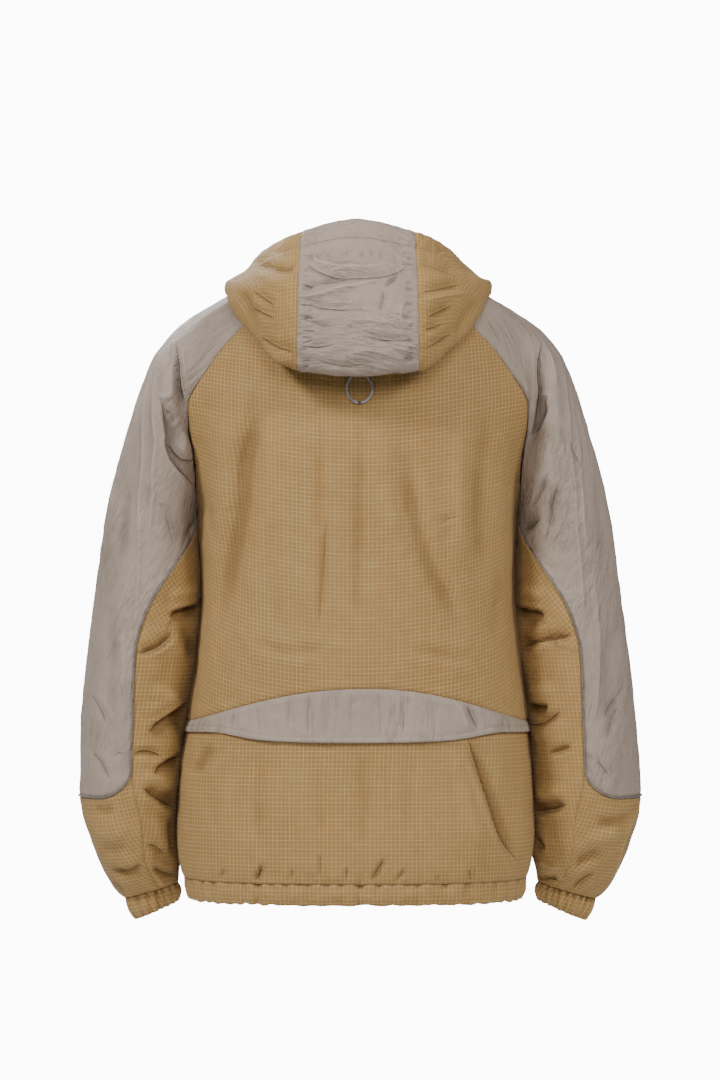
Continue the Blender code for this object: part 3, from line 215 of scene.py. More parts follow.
def oval(level, face):
    """Half width and depth of the body's oval, and the angle at which its panel ends."""
    depth = BODY.at("back" if face > 0 else "front", level)
    out, y = raglan(level, face)
    rest = np.maximum(1 - (np.abs(y) / depth) ** SQUARENESS, 1e-6)
    above = level > UNDERARM
    half = np.where(above, out / rest ** (1 / SQUARENESS), BODY.at("half", level))
    return half, depth, np.arcsin(np.clip(np.where(above, rest**0.5, 1.0), 0, 1))


def body_place(level, turn, face):
    """A point of the body's oval; turn runs from 0 at the centre to 1 at the panel's side."""
    half, depth, end = oval(level, face)
    angle = np.abs(turn) * end
    x = half * np.sin(angle) ** (2 / SQUARENESS) * np.where(turn < 0, -1.0, 1.0)
    y = face * depth * np.maximum(np.cos(angle), 0) ** (2 / SQUARENESS)
    return stacked(x + BODY.at("sway", level), y, level + lean(level) * y)


def front_start(level, end):
    """The turn at which a front begins beside the zip."""
    return np.arcsin((FRONT_EDGE / oval(level, -1)[0]) ** (SQUARENESS / 2)) / end


def arm_place(level, share, side):
    """A point of a sleeve; share runs from the back seam or the inside (0) round the outside."""
    level, share = np.broadcast_arrays(np.asarray(level, float), np.asarray(share, float))
    outer, full, deep, leaves, clear, middle, tilt = (
        ARM.at(name, level) for name in ARM.names[1:])
    spread = -side * RIGHT_ARM_SPREAD * eased((-0.45 - level) / 0.10)
    swayed = side * BODY.at("sway", level) * np.clip((level + 0.66) / 0.04, 0, 1)
    inner, full = BODY.at("half", level) + swayed + clear, full + spread / 2
    above, leaves = level > UNDERARM, np.radians(leaves)
    start, finish = (stacked(np.where(above, x + SEAM_STEP, inner), np.where(above, y, middle))
                     for x, y in (raglan(level, 1), raglan(level, -1)))
    points = np.stack([start, stacked(full, middle + deep), stacked(outer + spread, middle),
                       stacked(full, middle - FRONT_SHARE * deep), finish], axis=-2)
    ends = (stacked(way * np.cos(leaves), np.sin(leaves)).reshape(-1, 2) for way in (1, -1))
    x, y = np.moveaxis(round_path(points.reshape(-1, 5, 2), share.ravel(), *ends).reshape(
        level.shape + (2,)), -1, 0)
    return stacked(side * x, y, level + lean(level) * y + tilt * (x - full))


def neck_ring(way):
    """The neck seam on the wearer's left, by hood station: back, sleeve top, then front."""
    level = np.full_like(way, NECKLINE)
    first = front_start(level, oval(level, -1)[2])
    back = body_place(level, np.clip(way, 0, 1) ** (SQUARENESS / 2), 1)
    top = arm_place(level, np.clip(HOOD.at("round", way), 0, 1), 1)
    front = body_place(level, 1 - np.clip(way - 4, 0, 1) * (1 - first), -1)
    place = np.where((way < 1)[..., None], back, np.where((way < 4)[..., None], top, front))
    return place + [0, 0, NECK_LIFT]


def hood_place(station, share):
    """A point of the hood; share runs from the neck seam (0) to the face opening (1)."""
    station, share = np.broadcast_arrays(np.asarray(station, float), np.asarray(share, float))
    way = np.abs(station)
    legs = [stacked(*(HOOD.at(name + "_" + axis, way) for axis in "xyz"))
            for name in ("in", "fold", "out", "edge")]
    points = np.stack([neck_ring(way)] + legs, axis=-2)
    place = round_path(points.reshape(-1, 5, 3), share.ravel()).reshape(station.shape + (3,))
    return place * stacked(np.where(station < 0, -1.0, 1.0), 1, 1)


def drawn(place):
    """Across and up of a point as it is seen from straight behind."""
    scale = VIEW_FROM / (VIEW_FROM - place[..., 1])
    return stacked(place[..., 0] * scale, EYE_LEVEL + (place[..., 2] - EYE_LEVEL) * scale)


# ------------------------------------------------------------------ creases
CREASE_REACH = 3.2        # a crease's cloth is calm this many widths away
CREASE_LIP = 0.30         # cloth pushed up beside a trough, as a share of its depth
CREASE_END = 0.30         # share of its length over which a crease dies out
FOLD_REACH = 0.006        # a sharp fold's bump, painted shade and painted highlight end this far from its line
SHARP_WIDTH = 5.5         # a crease with a side narrower than this, in mm, has a sharp line
FULL_FOLD, FULL_CREST = 3.4, 1.9    # depth of a trough and height of a crest, in mm, fully sharp
FOLD_LAYERS = 3

# Creases in mm as drawn from straight behind: depth (troughs are negative), width on the left and
# on the right of the line as it runs, then its points across (wearer's left is +) and up in turn.
BACK_CREASES = (
    (-4.6, 15, 9, 100.1, -107.8, 116.6, -159.5, 127.6, -200.2, 129.8, -242, 137.5, -286, 144.1,
     -324.5, 149.6, -392.7),
    (2.6, 12, 12, 143, -121, 152.9, -170.5, 158.4, -225.5, 160.6, -280.5, 163.9, -330),
    (-1.5, 7, 7, 39.6, -117.7, 41.8, -181.5, 42.9, -258.5, 40.7, -354.2),
    (-1.5, 8, 8, -2.2, -133.1, -1.1, -203.5, 0, -302.5, 1.1, -396),
    (-1.4, 5, 6, 33, -253, 37.4, -313.5, 42.9, -381.7), (-3.2, 8, 14, -50.6, -170.5, -55, -203.5,
     -59.4, -236.5, -68.2, -275, -81.4, -313.5, -101.2, -352, -114.4, -399.3),
    (-0.8, 3, 3, -91.3, -260.7, -100.1, -256.3, -110, -253),
    (2.2, 9, 10, -111.1, -117.7, -108.9, -181.5, -110, -253, -114.4, -326.7),
    (-2.2, 10, 9, -146.3, -128.7, -136.4, -181.5, -132, -253, -136.4, -335.5),
    (1.3, 12, 12, -29.7, -121, -28.6, -192.5, -33, -280.5),
    (1.4, 12, 12, 74.8, -126.5, 78.1, -192.5, 82.5, -280.5, 85.8, -368.5),
    (-1.3, 9, 9, 170.5, -203.5, 160.6, -258.5, 149.6, -302.5),
    (-1.2, 8, 8, -161.7, -302.5, -154, -357.5, -147.4, -412.5),
    (-1, 6, 6, 118.8, -390.5, 80.3, -403.7, 30.8, -401.5),
    (-1, 6, 6, -46.2, -399.3, -90.2, -407, -134.2, -414.7))
LOWER_CREASES = (
    (-3.8, 12, 3.5, -117.7, -493.9, -133, -533.5, -148, -577.5, -163, -617, -180, -641.3),
    (1.8, 9, 9, -99, -500.5, -114.4, -544.5, -127.6, -590.7, -140.8, -639.1),
    (-2.8, 9, 8, 160.6, -502.7, 172.7, -522.5, 182.6, -542.3),
    (1.2, 9, 9, 138.6, -502.7, 145.2, -555.5, 149.6, -610.5),
    (-1.2, 7, 7, 105.6, -506, 110, -566.5, 107.8, -641.3),
    (-1, 8, 8, 44, -506, 41.8, -566.5, 40.7, -623.7),
    (-1.2, 8, 8, -4.4, -507.1, -6.6, -566.5, -4.4, -634.7),
    (-1, 8, 8, -59.4, -507.1, -55, -566.5, -50.6, -623.7),
    (-1.6, 2.6, 3, 40.7, -624.8, 40.7, -652.3),
    (-2, 3, 3.5, 104.5, -636.9, 108.9, -649, 114.4, -658.9),
    (-1.9, 3, 3, -30.8, -630.3, -22, -644.6, -14.3, -658.9),
    (-1.5, 3, 3, -52.8, -641.3, -44, -654.5, -36.3, -663.3),
    (-1.5, 3, 3, -91.3, -649, -85.8, -656.7, -80.3, -664.4),
    (-1.6, 3, 3, 11, -639.1, 12.1, -661.1), (-1.4, 3, 3, 71.5, -641.3, 73.7, -661.1),
    (-1.6, 3, 3, -124.3, -641.3, -126.5, -662.2), (-1.6, 3, 3, 145.2, -641.3, 156.2, -665.5))
VENT_CREASES = (
    (-0.9, 3.5, 3.5, 74.8, -449.9, 75.9, -493.9), (-0.9, 3.5, 3.5, 52.8, -447.7, 53.9, -498.3),
    (-0.8, 3.5, 3.5, 35.2, -446.6, 36.3, -499.4), (-0.8, 4, 4, 5.5, -445.5, 6.6, -500.5),
    (-0.9, 4, 4, -51.7, -444.4, -50.6, -500.5),
    (-2.2, 3.5, 4, -116.6, -453.2, -124.3, -469.7, -133.1, -490.6),
    (1.4, 3, 3, -107.8, -453.2, -114.4, -471.9, -121, -492.8),
    (-1, 4, 4, 134.2, -465.3, 137.5, -489.5), (-0.8, 4, 4, 110, -458.7, 105.6, -495),
    (-0.9, 4, 4, -161.7, -470.8, -158.4, -490.6), (-0.7, 5, 5, -24.2, -445.5, -26.4, -500.5),
    (-0.7, 5, 5, -81.4, -447.7, -85.8, -498.3))
HOOD_CREASES = (
    (-2.6, 5, 7, 60.5, 25.3, 44, 16.5, 23.1, 9.9, -8.8, 9.9, -40.7, 14.3, -59.4, 26.4),
    (1.6, 4, 4, 58.3, 33, 30.8, 20.9, -2.2, 19.8, -37.4, 25.3),
    (-1.6, 3, 4, 34.1, 28.6, 18.7, 26.4, 2.2, 29.7),
    (2.2, 4, 4, 64.9, -15.4, 30.8, -6.6, -4.4, 2.2, -41.8, 11),
    (-1.8, 5, 4, 63.8, -6.6, 36.3, 2.2, 8.8, 7.7),
    (-1.8, 4, 4, 58.3, -19.8, 28.6, -26.4, -6.6, -26.4),
    (-1.8, 4, 3, 60.5, -37.4, 46.2, -44, 28.6, -48.4),
    (-1.9, 4, 4, 62.7, -66, 44, -68.2, 24.2, -63.8),
    (-2, 4, 4, -3.3, -53.9, -30.8, -60.5, -62.7, -59.4),
    (1.4, 4, 4, 19.8, -40.7, -15.4, -38.5, -51.7, -45.1),
    (-2.2, 3, 3, -46.2, 12.1, -38.5, 4.4, -30.8, -4.4),
    (-1.7, 4, 4, -29.7, -4.4, -28.6, -18.7, -25.3, -31.9),
    (1.5, 4, 4, 14.3, -77, -11, -71.5, -37.4, -78.1),
    (-1.2, 4, 4, 44, -82.5, 14.3, -89.1, -15.4, -84.7),
    (1.2, 3, 3, -50.6, -16.5, -46.2, -36.3, -55, -51.7),
    (-2.4, 6, 6, 134.2, -1.1, 122.1, -17.6, 115.5, -34.1, 110, -53.9),
    (-2, 4, 5, 114.4, -5.5, 101.2, -15.4, 89.1, -23.1),
    (-2, 5, 5, 116.6, -24.2, 103.4, -30.8, 90.2, -36.3),
    (-2, 5, 5, 61.6, 23.1, 84.7, 16.5, 115.5, 25.3),
    (1.6, 6, 6, 105.6, 6.6, 85.8, -1.1, 68.2, -5.5),
    (-1.8, 5, 5, 105.6, -56.1, 90.2, -67.1, 68.2, -73.7),
    (1.5, 6, 6, 110, -66, 91.3, -80.3, 68.2, -86.9),
    (-1.9, 5, 6, -74.8, -35.2, -90.2, -28.6, -104.5, -20.9),
    (-1.9, 4, 4, -72.6, -48.4, -82.5, -46.2, -92.4, -41.8),
    (-1.8, 5, 5, -68.2, -7.7, -90.2, -3.3, -114.4, 2.2),
    (1.6, 5, 5, -72.6, -16.5, -95.7, -12.1, -123.2, -7.7),
    (-2, 6, 6, -136.4, -12.1, -123.2, -25.3, -114.4, -40.7, -107.8, -60.5),
    (-1.7, 5, 5, -72.6, -69.3, -88, -62.7, -103.4, -51.7),
    (-1.5, 5, 5, -68.2, 25.3, -90.2, 18.7, -114.4, 8.8))
ARM_LEFT_CREASES = (
    (1.5, 2.4, 2.4, 228, -84, 230.1, -104.1, 235.5, -142.3, 236.5, -198.9, 240.1, -235.4, 241,
     -302.5, 246.4, -390.5), (1.5, 2.4, 2.4, 220.4, -78, 221.9, -96.8, 224.6, -126, 224.6, -153.3,
     222.8, -175.2, 225.8, -198.9, 226.4, -235.4, 232.8, -302.5),
    (-4.8, 2.4, 8, 199.1, -64, 197.8, -84, 195.4, -99, 191.2, -121, 187.2, -138.6, 183.7, -162.5),
    (1.2, 2, 2, 204.6, -82, 202.7, -66.7, 199.1, -62.6, 195.5, -66.7, 192.7, -78.5, 190.8, -94.9),
    (1.2, 2, 2, 205, -80, 205.5, -94.9, 204.6, -115.1, 206.4, -121.4, 214.5, -123.2, 221.1, -118.6,
     223.6, -124.3), (-4.8, 10, 2.4, 221.1, -121.4, 216.4, -133.1, 210.9, -151.5, 208.2, -167.9,
     209, -173.4, 206.4, -184.4, 200, -196.9, 190.9, -211.6, 178, -228),
    (3.2, 10, 9, 189.2, -158.5, 192.5, -176, 191.4, -203.5, 182.6, -236.5),
    (-2.5, 5, 2.5, 192, -148, 186.3, -162.5, 180, -174),
    (-2.4, 2.5, 7, 204.5, -175, 194.5, -189.8, 185.4, -192.5, 178, -189),
    (-1.3, 2.5, 5, 211, -136, 203, -142, 199, -153),
    (-2.6, 5, 5, 173.8, -258.5, 181.5, -267.3, 187, -280.5),
    (2, 8, 8, 264, -214.5, 269.5, -258.5, 273.9, -308),
    (-2.2, 8, 8, 253, -203.5, 257.4, -258.5, 264, -313.5),
    (-2, 7, 7, 277.2, -346.5, 270.6, -390.5, 271.7, -445.5, 277.2, -500.5),
    (1.6, 6, 6, 260.7, -357.5, 257.4, -412.5, 259.6, -467.5),
    (-1.3, 2.5, 5, 291.6, -449.1, 283.1, -465.9, 276.1, -482.8),
    (-1.5, 2.5, 4.5, 290.2, -513.6, 283.1, -523.4, 274.7, -538.9, 271.4, -543.1),
    (-1, 2.5, 4, 270.5, -519.2, 263.5, -513.6, 256.5, -516.4),
    (1.2, 2.4, 2.4, 279, -262, 284, -300, 291, -360, 296, -420),
    (-1.5, 5, 5, 217.8, -236.5, 206.8, -264, 200.2, -289.3),
    (-6.4, 3, 12, 209, -365.2, 198, -359.7, 184.8, -355.3, 171.6, -350.9),
    (2.6, 7, 7, 211.2, -344.3, 193.6, -337.7, 173.8, -331.1),
    (-4.5, 8, 8, 193.6, -366.3, 187, -386.1, 180.4, -414.7),
    (-3.2, 8, 2.6, 245.3, -408.4, 232.7, -404.2, 218.6, -399.1, 208.8, -390.2, 204.6, -378.9),
    (2.2, 8, 8, 228.8, -445.5, 212.3, -451, 193.6, -456.5),
    (-6.2, 3, 13, 232.1, -491.7, 217.8, -482.9, 201.3, -469.7, 184.8, -457.6),
    (2.4, 7, 7, 233.2, -474.1, 217.8, -463.1, 198, -449.9),
    (-3.4, 7, 7, 200.2, -474.1, 192.5, -489.5, 191.4, -513.7),
    (-5.8, 12, 3, 238.7, -553.3, 224.4, -563.2, 211.2, -570.9, 199.1, -576.4),
    (2.2, 7, 7, 239.8, -536.8, 223.3, -545.6, 204.6, -555.5),
    (-2.8, 3, 6, 253.7, -520.1, 246.7, -515, 236.9, -512.2, 224.2, -513.6, 215.8, -519.2),
    (-4.4, 3, 9, 227, -538.3, 218.6, -530.5, 208.8, -523.4, 196.2, -516.4),
    (-4, 6, 6, 204, -583, 204, -606, 199, -628), (2, 7, 7, 226, -582, 221, -602, 214, -622),
    (-2.2, 2.6, 6, 232.7, -613.2, 221.4, -617.4, 211.6, -625.9),
    (-2.8, 3, 6, 232.7, -642.7, 221.4, -642.7, 210.2, -646.9, 196.2, -648.3),
    (-2.2, 6, 7, 291.6, -571.1, 280.3, -578.2, 266.3, -575.4),
    (2, 8, 8, 297, -597.3, 275, -603, 252, -600),
    (-3, 3, 7, 272, -641, 260.7, -644.1, 249.5, -642.7, 236.9, -634.3),
    (-2, 3, 5, 274.7, -653.9, 263.5, -660.9, 256.5, -668),
    (-1.6, 6, 7, 285, -618, 270, -622, 252, -617),
    (1.8, 5, 5, 239.8, -617.1, 228.8, -641.3, 211.2, -672.1))
ARM_RIGHT_CREASES = (
    (1.5, 2.4, 2.4, -213, -56, -218.4, -71.3, -225.6, -98.8, -230.2, -126.2, -232.1, -144.4,
     -232.1, -162.7, -235.7, -199.1, -239.4, -235.7, -240.2, -263.2, -244, -303, -250.8, -390.5),
    (1.4, 2.4, 2.4, -239.8, -150, -243.1, -198, -246.4, -242, -251.9, -300), (-4.8, 9, 2.4, -201,
     -61, -199.1, -78.7, -197.3, -98.8, -196.5, -118.8, -194.6, -133.4, -191, -151.8, -187, -168,
     -178, -190), (1.4, 2, 2, -200, -61, -202.8, -61, -207.4, -69.5, -212, -82, -217.5, -115.2),
    (1.4, 2.2, 2.2, -197.5, -127, -200.1, -121.6, -206.5, -119.7, -210.5, -125.2, -208, -139),
    (-3.4, 2.4, 7, -207, -124, -205.6, -138.9, -198.2, -153.6, -186, -170),
    (3, 9, 10, -203.3, -176.5, -207.7, -203.5, -203, -226.5),
    (-1.8, 2.5, 5, -233.9, -169, -242, -190.1, -247.5, -203),
    (-1.8, 2.5, 4, -212.9, -206, -201.9, -228.5, -189, -252),
    (-3.2, 2.6, 7, -210, -249, -200, -256, -189.2, -266.9, -178, -273),
    (-1.5, 2.5, 4, -222, -222, -214, -240, -210, -262),
    (-2, 7, 7, -259.6, -203.5, -266.2, -258.5, -273.9, -315.7),
    (1.8, 8, 8, -272.8, -236.5, -280.5, -280.5, -284.9, -324.5),
    (-2, 7, 7, -284.9, -357.5, -275, -401.5, -276.1, -456.5, -281.6, -511.5),
    (1.6, 6, 6, -261.8, -368.5, -259.6, -418, -262.9, -473),
    (-1.5, 5, 2.5, -291.4, -437.9, -283, -454.7, -274.6, -468.7, -268.4, -478.5),
    (-1.3, 2.5, 5, -287.2, -463.1, -280.2, -485.6, -274.6, -502.4),
    (-1.3, 2.5, 5, -263.4, -522, -271.8, -531.9, -277.4, -538.9),
    (1.2, 2.4, 2.4, -258, -300, -262, -350, -265, -405, -262, -460, -255, -500),
    (-1.5, 5, 5, -222.2, -214.5, -213.4, -249.7, -206.8, -286),
    (-6.4, 12, 3, -206.8, -363, -194.7, -359.7, -183.7, -357.5, -171.6, -353.1),
    (2.6, 7, 7, -209, -343.2, -193.6, -338.8, -176, -333.3),
    (-4.3, 8, 8, -192.5, -364.1, -187, -383.9, -182.6, -408.1),
    (-3.2, 8, 2.6, -180.5, -401.4, -190.4, -395.8, -204.4, -392.4, -221.2, -390.7, -239.5, -385.9),
    (-3.2, 3, 7, -187.5, -478.5, -196, -483, -206, -480, -222, -468),
    (-5.4, 12, 3, -211.2, -463.1, -199.1, -463.1, -187, -459.8),
    (2.2, 7, 7, -217.8, -445.5, -202.4, -445.5, -187, -443.3),
    (-2.6, 3, 6, -236, -508, -224, -513, -208, -516),
    (-5.6, 3, 12, -229.9, -573.1, -217.8, -576.4, -204.6, -578.6, -190.3, -579.7),
    (2.2, 7, 7, -231, -555.5, -213.4, -559.9, -193.6, -562.1),
    (-3.4, 5, 5, -206.8, -622.6, -200.2, -616, -195.8, -608.3, -190.3, -602.8),
    (-3.4, 5, 5, -224.4, -657.8, -213.4, -655.6, -201.3, -654.5, -190.3, -650.1),
    (1.8, 5, 5, -224.4, -641.3, -210.1, -639.1, -194.7, -632.5),
    (1.6, 3, 3, -311.3, -570.9, -303.6, -586.3, -293.7, -605, -282.7, -641.3, -270.6, -667.7),
    (-2.6, 6, 6, -301.4, -579.7, -283.8, -590.7, -259.6, -592.9),
    (2, 6, 6, -294.8, -599.5, -275, -608.3, -248.6, -608.3),
    (-2.4, 6, 7, -272, -622, -253, -630.3, -226, -642),
    (-2.4, 3, 6, -262, -648, -248, -656, -236, -667))
FRONT_CREASES = (
    (-4.2, 13, 10, 92, -128, 101, -190, 112, -255, 121, -335),
    (2, 12, 12, 72, -150, 80, -220, 88, -300),
    (-2.4, 9, 11, 66, -392, 74, -450, 84, -520, 88, -600),
    (-1.5, 8, 8, 38, -130, 42, -220, 40, -330, 44, -430),
    (-2.2, 8, 8, 128, -430, 140, -500, 150, -590), (-1.3, 5, 5, 104, -372, 86, -380, 66, -377),
    (-1.6, 4, 4, 60, -620, 62, -640), (-1.8, 4, 4, 112, -612, 116, -640),
    (-3.8, 10, 13, -96, -136, -106, -205, -113, -280, -119, -350),
    (2, 12, 12, -74, -140, -82, -230, -86, -310),
    (-2.6, 11, 9, -62, -405, -72, -470, -78, -540, -90, -610),
    (-1.5, 8, 8, -36, -140, -40, -240, -43, -340), (-2, 8, 8, -130, -420, -138, -500, -147, -570),
    (-1.3, 5, 5, -70, -366, -88, -372, -108, -366), (-1.6, 4, 4, -54, -618, -56, -641),
    (-1.8, 4, 4, -104, -610, -110, -640))
# Where the elastic draws the hem in, by distance round from the centre back, and how deep each
# tuck is; the wearer's left is +.
HEM_TUCKS = (
    (0.181, 1), (0.163, 1.2), (0.141, 0.7), (0.122, 0.8), (0.106, 1.9), (0.09, 0.7), (0.074, 1.1),
    (0.059, 0.6), (0.05, 0.9), (0.03, 0.7), (0.014, 0.8), (-0.006, 1.8), (-0.026, 1.2),
    (-0.043, 0.6), (-0.058, 0.8), (-0.068, 1.3), (-0.088, 0.6), (-0.098, 1.2), (-0.125, 1.3),
    (-0.147, 0.7), (-0.163, 1.1), (-0.181, 0.9))


def flowing(numbers, steps=5):
    """A smooth line through a few points given in mm, across and up in turn."""
    points = np.reshape(numbers, (-1, 2)) * MM
    padded = np.concatenate([[2 * points[0] - points[1]], points, [2 * points[-1] - points[-2]]])
    share = (np.arange(steps) / steps)[:, None]
    line = [start + 0.5 * share * (end - before + share * (
        2 * before - 5 * start + 4 * end - after + share * (3 * (start - end) + after - before)))
        for before, start, end, after in zip(padded, padded[1:], padded[2:], padded[3:])]
    return np.concatenate(line + [points[-1:]])


def close_to(at, line, reach):
    return ((at > line.min(axis=0) - reach) & (at < line.max(axis=0) + reach)).all(axis=-1)


def beside(here, line):
    """Distance from a line, signed by its side, and the share of its length, for each place."""
    steps = np.diff(line, axis=0)
    lengths = np.linalg.norm(steps, axis=1)
    starts = np.concatenate([[0], np.cumsum(lengths)])
    nearest = np.full(len(here), np.inf)
    signed, along = np.zeros(len(here)), np.zeros(len(here))
    for begin, step, length, done in zip(line, steps, lengths, starts):
        offset = here - begin
        share = np.clip(offset @ step / length**2, 0, 1)
        distance = np.hypot(*(offset - share[:, None] * step).T)
        closer = distance < nearest
        side = step[0] * offset[:, 1] - step[1] * offset[:, 0]
        for kept, new in ((nearest, distance), (signed, np.sign(side) * distance),
                          (along, done + share * length)):
            kept[closer] = new[closer]
    return signed, along / starts[-1]


def crease(at, depth, left, right, *points):
    """Height of one crease at (..., 2) places; each side has a width of its own."""
    line, height = flowing(points), np.zeros(at.shape[:-1])
    near = close_to(at, line, CREASE_REACH * max(left, right) * MM)
    if near.any():
        signed, share = beside(at[near], line)
        ratio = np.abs(signed) / np.where(signed < 0, left * MM, right * MM)
        lip = CREASE_LIP * np.exp(-(ratio - 2.0) ** 2) if depth < 0 else 0
        height[near] = (depth * MM * (np.exp(-ratio**2) - lip) * eased(share / CREASE_END)
                        * eased((1 - share) / CREASE_END))
    return height


def creased(at, table, strength):
    return strength * sum(crease(at, *row) for row in table)


def fading(distance):
    return eased((FOLD_REACH - np.abs(distance)) / (0.4 * FOLD_REACH))


def sharp_folds(at, table):
    """Per layer, distance from the nearest sharp line (+ is its hollow side) and its strength."""
    layers = [stacked(np.ones(at.shape[:-1]), 0.0) for _ in range(FOLD_LAYERS)]
    taken = [[] for _ in range(FOLD_LAYERS)]
    for depth, left, right, *points in table:
        if min(left, right) > SHARP_WIDTH:
            continue
        line = flowing(points)
        gaps = [min([np.linalg.norm(line[:, None] - other[None], axis=2).min() for other in lines]
                    or [1.0]) for lines in taken]
        best = int(np.argmax(gaps))
        if gaps[best] < FOLD_REACH:
            continue
        taken[best].append(line)
        near = close_to(at, line, FOLD_REACH)
        if near.any():
            signed, share = beside(at[near], line)
            signed = signed * (1 if right >= left else -1)
            strength = (np.clip(-depth / (FULL_FOLD if depth < 0 else FULL_CREST), -1, 1)
                        * eased(share / 0.12) * eased((1 - share) / 0.2) * fading(signed))
            layer = layers[best][near]
            closer = np.abs(signed) < np.abs(layer[:, 0])
            layer[closer] = stacked(signed, strength)[closer]
            layers[best][near] = layer
    return layers


def rumple(u, v, seed):
    """Smooth uneven height, about -1 to 1; one swell is about one unit of u and v wide."""
    size = 64
    turn = np.random.default_rng(seed).uniform(0, 2 * math.pi, (size, size))
    i, j = np.floor(u).astype(int), np.floor(v).astype(int)
    a, b = u - i, v - j

    def corner(p, q):
        angle = turn[(i + p) % size, (j + q) % size]
        return np.cos(angle) * (a - p) + np.sin(angle) * (b - q)
    fade_a, fade_b = (t**3 * (t * (6 * t - 15) + 10) for t in (a, b))
    low, high = (corner(0, q) * (1 - fade_a) + corner(1, q) * fade_a for q in (0, 1))
    return 1.5 * (low * (1 - fade_b) + high * fade_b)


def crisp(u, v, seed):
    """Uneven cloth with sharp crests where its swells meet, as thin nylon has."""
    return 0.5 - 2 * np.sqrt(rumple(u, v, seed) ** 2 + 0.004)


# ------------------------------------------------------------------ finishes
CREASE_SHADE, RIDGE_HIGHLIGHT = 0.46, 0.18       # how far the colour goes to painted shade in troughs and to painted highlight on ridges
# painted shade in the pit beside each sharp fold, and painted highlight on its edge and crest
FOLD_SHADE, FOLD_HIGHLIGHT = 0.62, 0.50
GRID_PITCH, GRID_LINE = 0.00455, 0.24         # ripstop squares and a line's share of the pitch
WEAVE_PITCH, FINE_WEAVE = 0.0009, 0.00063
WRINKLE_SHADE = 0.30

# The darkest tan and grey are painted shade for creases and wrinkles. The tan line colour is the
# grid's own and also the painted highlight on tan ridges. The pale grey is a random tone and also
# the painted highlight on grey crests.
TAN, TAN_SHADE, TAN_DEEP = (0.343, 0.198, 0.070), (0.298, 0.169, 0.057), (0.225, 0.124, 0.038)
TAN_GRID_LINE_AND_HIGHLIGHT, TAN_PAINTED_SHADE = (0.468, 0.326, 0.132), (0.140, 0.070, 0.018)
GREY, GREY_SHADE = (0.346, 0.272, 0.218), (0.302, 0.236, 0.188)
GREY_PALE_TONE_AND_HIGHLIGHT, GREY_PAINTED_SHADE = (0.480, 0.392, 0.326), (0.140, 0.104, 0.080)
PIPING_GREY, PIPING_DARK = (0.250, 0.205, 0.172), (0.120, 0.098, 0.082)
STEEL, STEEL_DARK = (0.520, 0.530, 0.550), (0.210, 0.215, 0.225)
TAPE, TAPE_SHADE = (0.290, 0.250, 0.215), (0.170, 0.145, 0.125)


